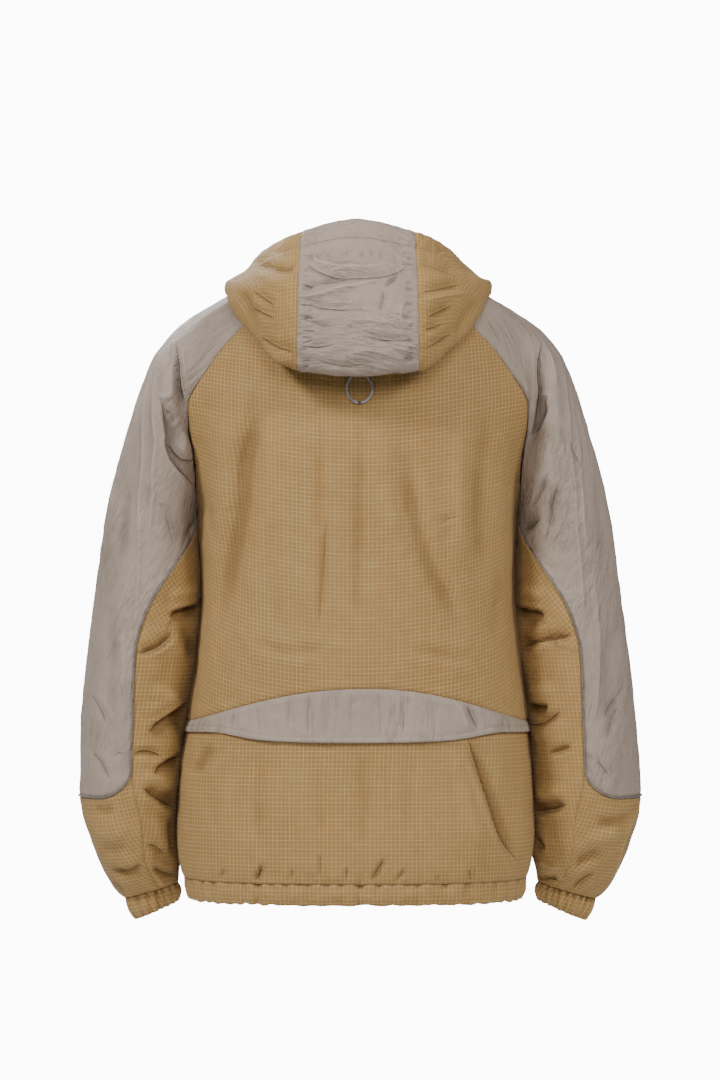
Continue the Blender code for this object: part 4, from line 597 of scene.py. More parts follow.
class Finish:
    """A cloth, cord or metal finish, wired up node by node."""

    def __init__(self, name, roughness, metallic=0.0, sheen=0.0, specular=0.5):
        self.made = bpy.data.materials.new(name)
        self.made.use_nodes = True
        self.tree = self.made.node_tree
        self.shader = self.wired(
            self.tree.nodes["Principled BSDF"], ("Roughness", roughness), ("Metallic", metallic),
            ("Sheen Weight", sheen), ("Sheen Roughness", 0.45), ("Specular IOR Level", specular))

    def wired(self, node, *links):
        for socket, source in links:
            if hasattr(source, "is_output"):
                self.tree.links.new(source, node.inputs[socket])
            else:
                node.inputs[socket].default_value = source
        return node

    def node(self, kind, *links, **settings):
        made = self.tree.nodes.new("ShaderNode" + kind)
        for key, value in settings.items():
            setattr(made, key, value)
        return self.wired(made, *links)

    def maths(self, operation, first, second=0.0):
        return self.node("Math", (0, first), (1, second), operation=operation).outputs[0]

    def times(self, first, second):
        return self.maths("MULTIPLY", first, second)

    def most(self, first, second):
        return self.maths("MAXIMUM", first, second)

    def split(self, vector):
        return self.node("SeparateXYZ", (0, vector)).outputs

    def grain_axes(self):
        """The cloth's own two directions in metres, from the cut piece."""
        cut = self.node("UVMap", uv_map="cut").outputs[0]
        return cut, self.split(cut)

    def object_place(self):
        return self.node("TexCoord").outputs["Object"]

    def noise(self, at, scale, detail=2.0, roughness=0.5):
        return self.node("TexNoise", ("Vector", at), ("Scale", scale), ("Detail", detail),
                         ("Roughness", roughness)).outputs["Fac"]

    def between(self, value, low, high, to_low=0.0, to_high=1.0, kind="SMOOTHSTEP"):
        return self.node("MapRange", ("Value", value), ("From Min", low), ("From Max", high),
                         ("To Min", to_low), ("To Max", to_high),
                         interpolation_type=kind).outputs["Result"]

    def mixed(self, share, *colours):
        """From the first colour to the second by a share."""
        first, second = (colour if hasattr(colour, "is_output") else (*colour, 1)
                         for colour in colours)
        return self.node("Mix", (0, share), (6, first), (7, second),
                         data_type="RGBA").outputs[2]

    def stretched(self, at, turn, across, along):
        """Places of the cut turned and drawn out, for wrinkles that run one way."""
        return self.node("Mapping", ("Vector", at), ("Rotation", (0, 0, turn)),
                         ("Scale", (across, along, 1)), vector_type="TEXTURE").outputs[0]

    def threads(self, axis, pitch, width):
        """Lines across one of the cloth's directions: 1 on a line, 0 between."""
        share = self.maths("FRACT", self.maths("DIVIDE", axis, pitch))
        off_centre = self.maths("ABSOLUTE", self.maths("SUBTRACT", share, 0.5))
        return self.between(off_centre, width * 0.5, width * 0.25)

    def weave(self, u, v, pitch):
        return self.times(self.threads(u, pitch, 0.9), self.threads(v, pitch, 0.9))

    def folds(self):
        """For each layer of sharp lines: distance, strength of hollows and strength of crests."""
        made = []
        for layer in range(FOLD_LAYERS):
            given = self.node("Attribute", attribute_name="fold_%d" % layer)
            away, strength, _ = self.split(given.outputs["Vector"])
            made.append((away, self.most(strength, 0.0),
                         self.most(self.times(strength, -1.0), 0.0)))
        return made

    def painted_crease_shade_and_highlight(self, colour, dark, light):
        """The colour with painted shade in its troughs and painted highlight on its ridges and
        sharp folds.
        """
        rise = self.node("Attribute", attribute_name="hollow").outputs["Fac"]
        # painted shade towards dark in the troughs, painted highlight towards light on the ridges
        down = self.between(rise, 0.0, -1.0, 0.0, CREASE_SHADE)
        up = self.between(rise, 0.1, 1.0, 0.0, RIDGE_HIGHLIGHT)
        colour = self.mixed(up, self.mixed(down, colour, dark), light)
        for away, hollow, crest in self.folds():
            # painted shade in the pit on the hollow side of each sharp fold
            painted_pit_shade = self.times(self.between(away, -0.0003, 0.0005),
                             self.between(away, 0.0048, 0.0006))
            colour = self.mixed(self.times(painted_pit_shade, self.times(hollow, FOLD_SHADE)), colour, dark)
            # painted highlight on the fold's edge and along each crest
            edge = self.times(self.between(away, -0.0020, -0.0006),
                              self.between(away, 0.0002, -0.0005))
            both = self.between(self.maths("ABSOLUTE", away), 0.0015, 0.0002)
            painted_fold_highlight = self.most(self.times(edge, hollow), self.times(both, crest))
            colour = self.mixed(self.times(painted_fold_highlight, FOLD_HIGHLIGHT), colour, light)
        return colour

    def fold_relief(self):
        """Sharp drop into each hollow fold and sharp top of each crest, as one height."""
        total = 0.0
        for away, hollow, crest in self.folds():
            drop = self.maths("ADD", self.between(away, -0.0040, -0.0002, 0, 0.5),
                              self.between(away, -0.0002, 0.0014, 0, -1.2))
            drop = self.maths("ADD", drop, self.between(away, 0.0014, 0.0060, 0, 0.7))
            tent = self.between(self.maths("ABSOLUTE", away), 0.0045, 0.0, 0, 0.6, "LINEAR")
            total = self.maths("ADD", total, self.maths(
                "ADD", self.times(drop, hollow), self.times(tent, crest)))
        return total

    def done(self, colour, *bumps, rough=None):
        """Wire up the colour and the bumps, each a height and how far it stands, in metres."""
        normal = ()
        for height, distance in bumps:
            normal = (("Normal", self.node("Bump", ("Height", height), ("Distance", distance), (
                "Strength", 1.0), *normal).outputs["Normal"]),)
        self.wired(self.shader, ("Base Color", colour), *normal,
                   *((("Roughness", rough),) if rough else ()))
        return self.made


def tan_ripstop(name, shown_grid):
    made = Finish(name, 0.78, sheen=0.05, specular=0.22)
    cut, (u, v, _) = made.grain_axes()
    across, down = (made.times(made.threads(axis, GRID_PITCH, GRID_LINE), made.between(
        made.noise(made.stretched(cut, 0, *drawn_out), 150.0), 0.35, 0.65, 0.62, 1.0))
        for axis, drawn_out in ((u, (1, 14)), (v, (14, 1))))
    grid = made.most(across, down)
    uneven = made.between(made.noise(cut, 75.0, 3.0, 0.6), 0.32, 0.68, 0.72, 1.0)
    grid = made.times(made.times(grid, uneven), shown_grid)
    place = made.object_place()
    broad = made.between(made.noise(place, 7.0, 3.0), 0.35, 0.65)
    fine = made.between(made.noise(cut, 900.0, 1.0), 0.3, 0.7)
    cloth = made.mixed(made.times(fine, 0.35), made.mixed(broad, TAN_SHADE, TAN), TAN_DEEP)
    # the grid and tones are the cloth's own; painted shade goes into its creases and painted
    # highlight onto its ridges
    return made.done(
        made.painted_crease_shade_and_highlight(made.mixed(grid, cloth, TAN_GRID_LINE_AND_HIGHLIGHT), TAN_PAINTED_SHADE, TAN_GRID_LINE_AND_HIGHLIGHT),
        (made.fold_relief(), 0.0022), (made.noise(place, 130.0, 3.0, 0.6), 0.0007),
        (grid, 0.00012), (made.weave(u, v, WEAVE_PITCH), 0.00005),
        rough=made.between(uneven, 0.35, 1.0, 0.78, 0.66))


def grey_nylon(name, turn, across, along):
    made = Finish(name, 0.62, sheen=0.05, specular=0.26)
    cut, (u, v, _) = made.grain_axes()
    place = made.object_place()
    broad = made.between(made.noise(place, 9.0, 3.0), 0.35, 0.65)
    fine = made.between(made.noise(cut, 700.0), 0.3, 0.7)
    cloth = made.mixed(made.times(fine, 0.12), made.mixed(broad, GREY_SHADE, GREY), GREY_PALE_TONE_AND_HIGHLIGHT)
    # painted shade along thin wrinkle lines, here and there; the same lines also give a soft bump
    long_way = made.stretched(cut, turn, across, along)
    valley = made.maths("ABSOLUTE", made.maths(
        "SUBTRACT", made.noise(long_way, 62.0, 4.0, 0.58), 0.5))
    where = made.between(made.noise(place, 16.0), 0.42, 0.62)
    line = made.times(made.between(valley, 0.030, 0.0), where)
    cloth = made.mixed(made.times(line, WRINKLE_SHADE), cloth, GREY_PAINTED_SHADE)
    small = made.noise(place, 170.0, 3.0, 0.6)
    soft = made.times(made.between(valley, 0.0, 0.16, kind="LINEAR"),
                      made.between(where, 0.0, 1.0, 0.45, 1.0))
    # painted shade goes into the creases and painted highlight onto the ridges and crests
    return made.done(
        made.painted_crease_shade_and_highlight(cloth, GREY_PAINTED_SHADE, GREY_PALE_TONE_AND_HIGHLIGHT), (made.fold_relief(), 0.0022),
        (soft, 0.0016), (made.noise(long_way, 260.0, 3.0, 0.6), 0.0009), (small, 0.0005),
        (made.weave(u, v, FINE_WEAVE), 0.00004), rough=made.between(small, 0.3, 0.7, 0.54, 0.66))


def twisted_cord(name, colour, dark, roughness, pitch):
    """A round cord whose strands show as slanting lines along its own length."""
    made = Finish(name, roughness, sheen=0.1)
    around, along, _ = made.grain_axes()[1]
    lay = made.maths("ADD", made.maths("DIVIDE", along, pitch), around)
    strand = made.between(made.maths("SINE", made.times(lay, 2 * math.pi)), -1.0, 1.0)
    worn = made.between(made.noise(made.object_place(), 160.0), 0.3, 0.7)
    return made.done(made.mixed(made.times(strand, worn), dark, colour), (strand, 0.00018))


def sewing_thread(name, colour, dark):
    made = Finish(name, 0.6, sheen=0.1)
    worn = made.between(made.noise(made.object_place(), 260.0), 0.3, 0.7)
    return made.done(made.mixed(worn, dark, colour),
                     (made.noise(made.object_place(), 900.0), 0.0001))


def woven_tape(name):
    made = Finish(name, 0.8, sheen=0.2)
    cut, (u, v, _) = made.grain_axes()
    rib = made.threads(made.maths("ADD", u, v), 0.0011, 0.8)
    return made.done(made.mixed(rib, TAPE_SHADE, TAPE), (rib, 0.00012),
                     (made.noise(cut, 300.0), 0.0003))


def satin_metal(name, colour, dark, roughness):
    made = Finish(name, roughness, metallic=0.9)
    place = made.object_place()
    worn = made.between(made.noise(place, 220.0, 3.0, 0.6), 0.35, 0.7)
    brushed = made.noise(made.node("Mapping", ("Vector", place),
                                   ("Scale", (1, 1, 14))).outputs[0], 400.0)
    return made.done(made.mixed(worn, dark, colour), (brushed, 0.00004),
                     rough=made.between(brushed, 0.3, 0.7, roughness - 0.06, roughness + 0.1))


def plain_floor(name):
    made = Finish(name, 0.9)
    return made.done(made.mixed(made.noise(made.object_place(), 3.0), (0.78, 0.78, 0.78),
                                (0.82, 0.82, 0.82)))


TAN_CLOTH, HOOD_TAN = tan_ripstop("tan_ripstop_cloth", 1.0), tan_ripstop("tan_hood_cloth", 0.8)
GREY_CLOTH = grey_nylon("grey_nylon_cloth", 0.0, 1.6, 9.0)
SLEEVE_GREY = {side: grey_nylon("grey_sleeve_%s_cloth" % word, -0.35 * side, 1.0, 4.5)
               for word, side in TWO_SIDES}
STRIP_GREY = grey_nylon("grey_hood_cloth", 0.12, 3.0, 0.8)
PIPING_CORD = twisted_cord("grey_piping_cord", PIPING_GREY, PIPING_DARK, 0.55, 0.0022)
LOOP_CORD = twisted_cord("steel_grey_cord", STEEL, STEEL_DARK, 0.30, 0.0016)
TAN_THREAD = sewing_thread("tan_thread", (0.46, 0.32, 0.17), (0.30, 0.19, 0.09))
TACK_THREAD = sewing_thread("brown_tack_thread", (0.20, 0.13, 0.08), (0.10, 0.07, 0.05))
TAPE_CLOTH = woven_tape("zip_tape_weave")
ZIP_METAL = satin_metal("satin_zip_metal", (0.42, 0.43, 0.45), (0.24, 0.25, 0.27), 0.34)
TEETH_NYLON = satin_metal("zip_teeth_nylon", (0.30, 0.27, 0.24), (0.20, 0.18, 0.16), 0.45)


# ------------------------------------------------------------------ cloth pieces
# Passes of softening that give a crease's own level and the level round it, and the depth that
# shows its full painted shade: once for the sharp folds, once for the broad ones.
HOLLOW_SCALES = ((1, 22, 0.0032), (8, 240, 0.0085))
SEAM_HOLD = 0.010         # cloth is held to the seam's line over this distance
SEAM_DIP, SEAM_DIP_WIDTH, SEAM_PUFF = 0.0003, 0.0020, 0.0005
SEAM_TURN = 0.0012, 0.0024    # a seam's allowance runs this far past its line, and this far under
BACKWARD = np.array([0, 1.0, 0])


def arcs(points, axis):
    """Distance along the cloth from the first edge, by grid point."""
    steps = np.linalg.norm(np.diff(points, axis=axis), axis=-1)
    return np.insert(np.cumsum(steps, axis=axis), 0, 0, axis=axis)


def evenly(curve, start, end, count):
    """Values from start to end at which a curve's points lie evenly spaced."""
    fine = np.linspace(start, end, 3001)
    length = arcs(curve(fine)[None], 1)[0]
    return np.interp(np.linspace(0, length[-1], count), length, fine)


def turned(cut, angle, centre):
    """The cut turned by an angle that may change over the piece, about one of its points."""
    u, v = cut[..., 0] - centre[0], cut[..., 1] - centre[1]
    return stacked(u * np.cos(angle) - v * np.sin(angle), u * np.sin(angle) + v * np.cos(angle))


def softened(height, passes, closed):
    """The same heights evened out over their neighbours."""
    for _ in range(passes):
        pad = np.pad(height, ((1, 1), (0, 0)), mode="edge")
        height = 0.5 * height + 0.25 * (pad[:-2] + pad[2:])
        pad = np.pad(height, ((0, 0), (1, 1)), mode="wrap" if closed else "edge")
        height = 0.5 * height + 0.25 * (pad[:, :-2] + pad[:, 2:])
    return height


def squares(rows, columns, closed):
    """The corners of each square of a grid."""
    i, j = np.meshgrid(np.arange(rows - 1), np.arange(columns - (not closed)), indexing="ij")
    k = (j + 1) % columns
    return stacked(i * columns + j, i * columns + k, (i + 1) * columns + k,
                   (i + 1) * columns + j).reshape(-1, 4)


def mesh_of(name, vertices, faces, flat):
    """A smooth mesh with the cut's own coordinates as its UV map."""
    mesh = bpy.data.meshes.new(name)
    mesh.from_pydata(vertices, [], faces)
    mesh.uv_layers.new(name="cut").data.foreach_set("uv", np.array(flat, np.float32).ravel())
    mesh.update()
    mesh.shade_smooth()
    return mesh


def grid_mesh(name, points, cut, outward, closed, hollow, folds):
    """A mesh of the grid's squares that carries its hollows and its sharp lines."""
    rows, columns = points.shape[:2]
    corners = squares(rows, columns, closed)
    a, b, _, c = (points.reshape(-1, 3)[corners[:, n]] for n in range(4))
    facing = np.cross(b - a, c - a).reshape(rows - 1, -1, 3)
    if (facing * outward[:-1, :facing.shape[1]]).sum() < 0:
        corners = corners[:, ::-1]
    flat = cut.reshape(-1, 2)[corners]
    if closed:
        girth = np.ptp(cut[..., 0]) * columns / (columns - 1)
        behind = flat[..., 0] < flat[..., 0].max(axis=1, keepdims=True) - girth / 2
        flat[..., 0] += behind * girth
    mesh = mesh_of(name, points.reshape(-1, 3).tolist(), corners.tolist(), flat)
    depth = mesh.attributes.new("hollow", "FLOAT", "POINT")
    depth.data.foreach_set("value", hollow.ravel().astype(np.float32))
    for layer, fold in enumerate(folds):
        held = mesh.attributes.new("fold_%d" % layer, "FLOAT_VECTOR", "POINT")
        held.data.foreach_set("vector", np.pad(fold, ((0, 0), (0, 0), (0, 1))).ravel().astype(
            np.float32))
    return mesh


def shown(name, mesh, finish, slot, *nodes):
    """Put a piece in the scene, riding on the jacket and standing for its solids."""
    made = bpy.data.objects.new(name, mesh)
    bpy.context.scene.collection.objects.link(made)
    mesh.materials.append(finish)
    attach(made, "jacket")
    if nodes:
        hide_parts(*nodes)
    return made


class Panel:
    """A cut piece laid on its form: grid, normals, distances and cut, ready for its relief."""

    def __init__(self, name, place, outward, sewn="", closed=False, middle=None, from_foot=False):
        self.name, self.place, self.closed, self.sewn = name, place, closed, sewn.split()
        wrapped = np.concatenate([place[:, -1:], place, place[:, :1]], axis=1)
        self.normals = unit(np.cross(np.gradient(place, axis=0), (
            wrapped[:, 2:] - wrapped[:, :-2]) / 2 if closed else np.gradient(place, axis=1)))
        self.normals *= -1.0 if (self.normals * outward).sum() < 0 else 1.0
        self.across, self.down = arcs(place, 1), arcs(place, 0)
        column = place.shape[1] // 2 if middle is None else middle
        self.cut = stacked(self.across - self.across[:, column:column + 1],
                           self.down - (self.down[-1:] if from_foot else 0))
        self.at = drawn(place)
        self.relief = np.zeros(place.shape[:2])
        self.folds = sharp_folds(self.at, ())
        self.back_seen, self.front_seen = (eased((way * self.normals[..., 1] - 0.02) / 0.35)
                                           for way in (1, -1))

    def from_edge(self, edge):
        return {"left": self.across, "right": self.across[:, -1:] - self.across,
                "top": self.down, "foot": self.down[-1:] - self.down}[edge]

    def hold(self, reach=SEAM_HOLD):
        """1 in the middle of the cloth, 0 where a seam holds it."""
        return math.prod((eased(self.from_edge(edge) / reach) for edge in self.sewn),
                         start=np.ones(self.down.shape))

    def seams(self):
        """The groove along each seam and the small puff of cloth beside it."""
        return sum(SEAM_PUFF * bump(self.from_edge(edge) - 0.0055, 0.003)
                   - SEAM_DIP * bump(self.from_edge(edge), SEAM_DIP_WIDTH) for edge in self.sewn)

    def puckers(self, edge, seed, pitch=0.013, depth=0.0007, reach=0.016):
        """Small tucks that run out from a seam, unevenly spaced."""
        along = self.across if edge in ("top", "foot") else self.down
        away = self.from_edge(edge)
        return (depth * rumple(along / pitch, away / (reach * 3), seed)
                * bump(away - 0.005, reach * 0.55))

    def soft(self, seed, height):
        """Long soft swells of thin woven cloth, with a few short ones on them."""
        u, v = self.cut[..., 0], self.cut[..., 1]
        return height * (
            0.0011 * rumple(u / 0.055 + 7, v / 0.13, seed)
            + 0.0007 * rumple((u + 0.4 * v) / 0.030, (v - 0.3 * u) / 0.050, seed + 1)
            + 0.0003 * crisp((u - 0.5 * v) / 0.022, (v + 0.6 * u) / 0.030, seed + 2))

    def crinkled(self, seed, height):
        """The crumpled face of the grey nylon: sharp little crests running every way."""
        u, v = self.cut[..., 0], self.cut[..., 1]
        return height * (
            0.0010 * rumple(u / 0.050, v / 0.080, seed)
            + 0.00075 * crisp((u + 0.5 * v) / 0.030, (v - 0.4 * u) / 0.036, seed + 1)
            + 0.00035 * crisp((u - 0.7 * v) / 0.014, (v + 0.5 * u) / 0.017, seed + 2))

    def gathers(self, seed, table=None):
        """Cloth drawn together above an elastic channel: the tucks run up and die out."""
        away, u, table = self.from_edge("foot"), self.cut[..., 0], table or tuck_row(
            -0.3, 0.3, 0.017, seed)
        run = 0.011 + 0.006 * rumple(u / 0.022, u * 0 + 0.3, seed)
        return (-TUCK_DEPTH * 0.8 * tucks(u, table, 0.9) * np.exp(-(away / run) ** 1.5)
                * eased(away / 0.003))

    def fold_sharply(self, table, share=1.0, at=None):
        """Take the sharp lines of a table, as strong as share says at each place."""
        for layer, fold in zip(self.folds, sharp_folds(self.at if at is None else at, table)):
            fold[..., 1] *= share * self.hold()
            stronger = np.abs(fold[..., 1]) > np.abs(layer[..., 1])
            layer[stronger] = fold[stronger]

    def sewn_down(self, away, strength):
        """A stitched line presses a sharp groove into the cloth, with painted shade beside it and
        painted highlight on its edge.
        """
        near = np.abs(away) < FOLD_REACH
        self.folds[-1][near] = stacked(away, strength * fading(away))[near]

    def finished(self, finish, slot, node, held="hung", gather=1.0, rests_on=(), wall=SHELL,
                 edges=None, under=SEAM_TURN[1]):
        """Turn the sewn edges under and give the cloth its thickness; the cut's measures are
        worked out but not kept.
        """
        # The relief's hollows and ridges, kept as the hollow attribute from which the finishes
        # paint shade into troughs and highlight onto ridges
        rise = sum((softened(self.relief, near, self.closed)
                    - softened(self.relief, far, self.closed)) / depth
                   for near, far, depth in HOLLOW_SCALES)
        grids = [self.place + self.normals * self.relief[..., None], self.normals, self.cut,
                 np.clip(rise, -1, 1), *self.folds]
        for edge in self.sewn if edges is None else edges:
            axis, last = int(edge in ("left", "right")), edge in ("foot", "right")
            rims = [np.take(grid, [-last], axis) for grid in grids]
            out = rims[0] - np.take(grids[0], [-2 if last else 1], axis)
            out = out / np.maximum(np.linalg.norm(out, axis=-1, keepdims=True), 1e-6)
            rims[0] = rims[0] + out * SEAM_TURN[0] - rims[1] * under
            grids = [np.concatenate([grid, rim] if last else [rim, grid], axis)
                     for grid, rim in zip(grids, rims)]
        points, normals, cut, rise, *folds = grids
        made = shown(self.name, grid_mesh(self.name, points, cut, normals, self.closed, rise,
                                          folds), finish, slot, node)
        solid = made.modifiers.new("cloth_wall", "SOLIDIFY")
        solid.thickness, solid.offset, solid.use_rim = wall, -1, True
        self.state_cut(gather)
        return self

    def state_cut(self, gather):
        """Works out the cut's widest and longest measure and its flat area, gathers let out, and
        keeps none of them.
        """
        columns = self.place.shape[1]
        round_all = columns / (columns - 1) if self.closed else 1
        width, length = float(self.across[:, -1].max()) * round_all, float(self.down[-1].max())
        area = round_all * float(np.linalg.norm(np.cross(
            np.diff(self.place, axis=0)[:, :-1], np.diff(self.place, axis=1)[:-1]), axis=-1).sum())
        area = min(area * gather, width * gather * length)


# ------------------------------------------------------------------ body
BACK_COLUMNS, SHOULDER_ROWS, WAIST_ROWS, VENT_ROWS, LOWER_ROWS = 181, 92, 74, 26, 62
FRONT_COLUMNS, FRONT_BELOW_ROWS, HEM_COLUMNS, CHANNEL_ROWS = 72, 108, 440, 15
BACK_TURNS = evenly(lambda t: body_place(np.full_like(t, -0.30), t, 1), -1, 1, BACK_COLUMNS)
RAGLAN_LEVELS = np.concatenate([np.linspace(NECKLINE, JOIN, SHOULDER_ROWS),
                                [-0.2464, -0.2485, UNDERARM]])
# Distance across of each back column at the vent.
VENT_X = (np.sign(BACK_TURNS) * HALF_AT_VENT
          * np.sin(np.abs(BACK_TURNS) * math.pi / 2) ** (2 / SQUARENESS))
# The arched seam over the vent, which ends blunt at the side seams, and the vent's lower edge,
# which hangs free in the middle and is sewn at its ends.
ARCH_SHARE = np.abs(VENT_X - VENT_APEX) / (HALF_AT_VENT + np.where(
    VENT_X > VENT_APEX, -VENT_APEX, VENT_APEX))
VENT_SEAM = VENT_TOP - VENT_RISE * ARCH_SHARE ** VENT_ARCH + VENT_BLUNT * ARCH_SHARE ** 4.7
VENT_EDGE = (VENT_FOOT + VENT_END_LIFT * (VENT_X / HALF_AT_VENT) ** 2
             + VENT_SEWN * bump(np.abs(VENT_X) / HALF_AT_VENT - 0.80, 0.17) - 0.0006)
TUCK_WIDTH, TUCK_DEPTH = 0.0042, 0.0023
CHANNEL_PUFF, CHANNEL_UNDER = 0.0027, 0.0042
HEM_HALF_GIRTH, SIDE_SEAM = 0.545, 0.205      # round from the centre back


def steps_down(count, skip=0):
    return np.linspace(0, 1, count)[skip:, None]


def back_panel(name, levels, **kind):
    levels, turns = np.broadcast_arrays(levels, BACK_TURNS)
    return Panel(name, body_place(levels, turns, 1), BACKWARD, **kind)


def make_upper_back():
    below = UNDERARM + (VENT_SEAM - UNDERARM) * steps_down(WAIST_ROWS + 1, 1)
    panel = back_panel("upper_back", np.concatenate(
        [np.repeat(RAGLAN_LEVELS[:, None], BACK_COLUMNS, axis=1), below]),
        sewn="left right top foot")
    panel.relief = (panel.hold() * (creased(panel.at, BACK_CREASES, 1.5) + panel.soft(11, 1.25))
                    + panel.puckers("left", 21) + panel.puckers("right", 22)
                    + panel.puckers("foot", 23, depth=0.0005) + panel.seams())
    panel.fold_sharply(BACK_CREASES)
    panel.finished(TAN_CLOTH, "tan_ripstop", "back_upper", rests_on=("wearer",))


def make_vent():
    share = steps_down(VENT_ROWS)
    panel = back_panel("back_vent_flap", VENT_SEAM - 0.0003 + (VENT_EDGE - VENT_SEAM) * share,
                       sewn="left right top")
    inside = 1 - np.abs(BACK_TURNS)
    foot, u = panel.from_edge("foot"), panel.cut[..., 0]
    hem = -0.0006 * bump(foot - VENT_STITCH, 0.0010) + 0.0003 * bump(foot - 0.0035, 0.0020)
    edge = 0.0007 * rumple(u / 0.034, u * 0 + 0.5, 35) * bump(foot, 0.012) * eased(inside / 0.1)
    panel.relief = (VENT_STAND * np.sin(share * math.pi / 2) * eased(inside / 0.15)
                    + panel.hold() * (creased(panel.at, VENT_CREASES, 1.5)
                                      + panel.crinkled(31, 0.7))
                    + hem + edge + panel.puckers("top", 33, depth=0.0005) + panel.seams())
    panel.fold_sharply(VENT_CREASES)
    return panel.finished(GREY_CLOTH, "grey_nylon", "back_vent")


def make_lower_back():
    top = VENT_EDGE + VENT_LAP * eased((0.92 - np.abs(BACK_TURNS)) / 0.30) - 0.00045
    panel = back_panel("lower_back", top + (HEM_SEAM - top) * steps_down(LOWER_ROWS),
                       from_foot=True, sewn="left right foot")
    calm = eased((panel.from_edge("top") - VENT_LAP) / 0.03)
    panel.relief = (panel.hold() * (creased(panel.at, LOWER_CREASES, 1.6)
                                    + calm * panel.soft(41, 1.25))
                    - 0.0004 * (1 - calm) + panel.gathers(43, HEM_TUCKS) + panel.seams())
    panel.fold_sharply(LOWER_CREASES)
    panel.finished(TAN_CLOTH, "tan_ripstop", "back_lower")


def tuck_row(first, last, pitch, seed):
    """Uneven tucks from one place to another, for the sides that mirror nothing."""
    draw = np.random.default_rng(seed)
    places, at = [], first
    while at < last:
        places.append((at, draw.uniform(0.6, 1.5)))
        at += pitch * draw.uniform(0.62, 1.4)
    return places


def tucks(distance, table, widths=1.0):
    """Depth of the tucks at a distance round; 0 between them."""
    return sum(depth * bump(distance - at, TUCK_WIDTH * widths) for at, depth in table)


def make_front(word, side):
    below = UNDERARM + (HEM_SEAM - UNDERARM) * steps_down(FRONT_BELOW_ROWS, 1)
    levels = np.concatenate([RAGLAN_LEVELS[:, None], below])
    first = front_start(levels, oval(levels, -1)[2])
    shares = evenly(lambda t: body_place(np.full_like(t, -0.30), t, -1), 0.01, 1, FRONT_COLUMNS)
    shares = (shares - shares[0]) / (1 - shares[0])
    levels, turns = np.broadcast_arrays(levels, side * (first + (1 - first) * shares[None]))
    panel = Panel("front_" + word + "_cloth", body_place(levels, turns, -1), -BACKWARD,
                  middle=0, sewn="right top foot")
    opening = panel.from_edge("left")
    placket = 0.0005 * bump(opening - 0.004, 0.004) - 0.0005 * bump(opening - ZIP_STITCH, 0.0012)
    panel.relief = (panel.hold() * eased((opening - 0.010) / 0.02) * (
        creased(panel.at, FRONT_CREASES, 1.3) + panel.soft(51 + side, 1.25))
        + placket + panel.puckers("right", 54 + side) + panel.gathers(57 + side)
        + panel.seams())
    panel.fold_sharply(FRONT_CREASES)
    return panel.finished(TAN_CLOTH, "tan_ripstop", "front_" + word)


def belt(levels, around):
    """Points all round the body; around runs -1..1 from zip to zip by the back."""
    first = front_start(levels, math.pi / 2)
    front_turn = np.sign(around) * np.clip(first + (1 - first) * (1 - np.abs(around)) * 2, 0, 1)
    return np.where((np.abs(around) <= 0.5)[..., None],
                    body_place(levels, np.clip(around * 2, -1, 1), 1),
                    body_place(levels, front_turn, -1))


def channel_form(share):
    """How far a stuffed channel stands out between its two sewn edges."""
    return CHANNEL_PUFF * np.sin(np.clip(share, 0, 1) * math.pi) ** 0.95


def make_hem_channel():
    around = evenly(lambda t: belt(np.full_like(t, HEM_SEAM), t), -1, 1, HEM_COLUMNS)[None]
    share = steps_down(CHANNEL_ROWS)
    table = list(HEM_TUCKS) + tuck_row(SIDE_SEAM, 0.54, 0.017, 61) \
        + [(-at, depth) for at, depth in tuck_row(SIDE_SEAM, 0.54, 0.018, 62)]
    wavy = (0.0013 * tucks(around * HEM_HALF_GIRTH, table, 1.2)
            + 0.0011 * rumple(around * 26, around * 0, 66))
    levels, around = np.broadcast_arrays(
        HEM_SEAM - EDGE_LAP + (HEM_EDGE - HEM_SEAM) * share + wavy * share ** 1.5, around)
    place = belt(levels, around)
    panel = Panel("hem_channel_cloth", place, place * [1, 1, 0])
    u = panel.cut[..., 0]
    depth = TUCK_DEPTH * tucks(u + 0.002 * rumple(u / 0.03, share * 2, 63), table)
    panel.relief = (channel_form(share) * (0.80 + 0.4 * rumple(u / 0.02, share * 1.5, 65))
                    - depth * (0.70 + 0.30 * bump(share, 0.22))
                    + 0.0005 * rumple(u / 0.0085, share * 2.2, 64)) \
        * eased((1 - np.abs(around)) / 0.012) - 0.0003 * bump(share, 0.10) - 0.0002
    return panel.finished(TAN_CLOTH, "tan_ripstop", "hem_channel", "gathered", 1.12,
                          wall=DOUBLE, edges=["top"], under=CHANNEL_UNDER)


# ------------------------------------------------------------------ sleeves
PATCH_COLUMNS, PATCH_LOWER_ROWS, FOREARM_ROWS, UNDER_COLUMNS, CUFF_COLUMNS = 137, 98, 38, 61, 210
FIRST_RING = UNDERARM - 0.010
ARM_CREASES = {1: ARM_LEFT_CREASES, -1: ARM_RIGHT_CREASES}
FRONT_SHIFT = 0.014       # the hidden front of a sleeve creases like the other one's back
SLEEVE_FULL = 0.0026      # the under-sleeve's inside is pressed full against the body
# The cloth lies askew above the fold at the inside of the elbow: the fold's places across, its
# levels there, and the angle.
ELBOW_OUT = (0.175, 0.204, 0.216, 0.245)
ELBOW_LEVEL = (-0.354, -0.363, -0.394, -0.402)
BIAS_ANGLE, BIAS_TURN = 0.62, 0.002
CUFF_GATHERS, CUFF_TUCK = 0.0105, 0.0037


def seam_share(level, side):
    """Share of the way round, at the back, at which the lengthwise sleeve seam lies."""
    low, high = np.zeros_like(level), np.full_like(level, 0.5)
    for _ in range(22):
        middle = (low + high) / 2
        short = np.abs(arm_place(level, middle, side)[..., 0]) < SLEEVE_SEAM.at("out", level)
        low, high = np.where(short, middle, low), np.where(short, high, middle)
    return np.where(level >= JOIN, 0.0, (low + high) / 2)


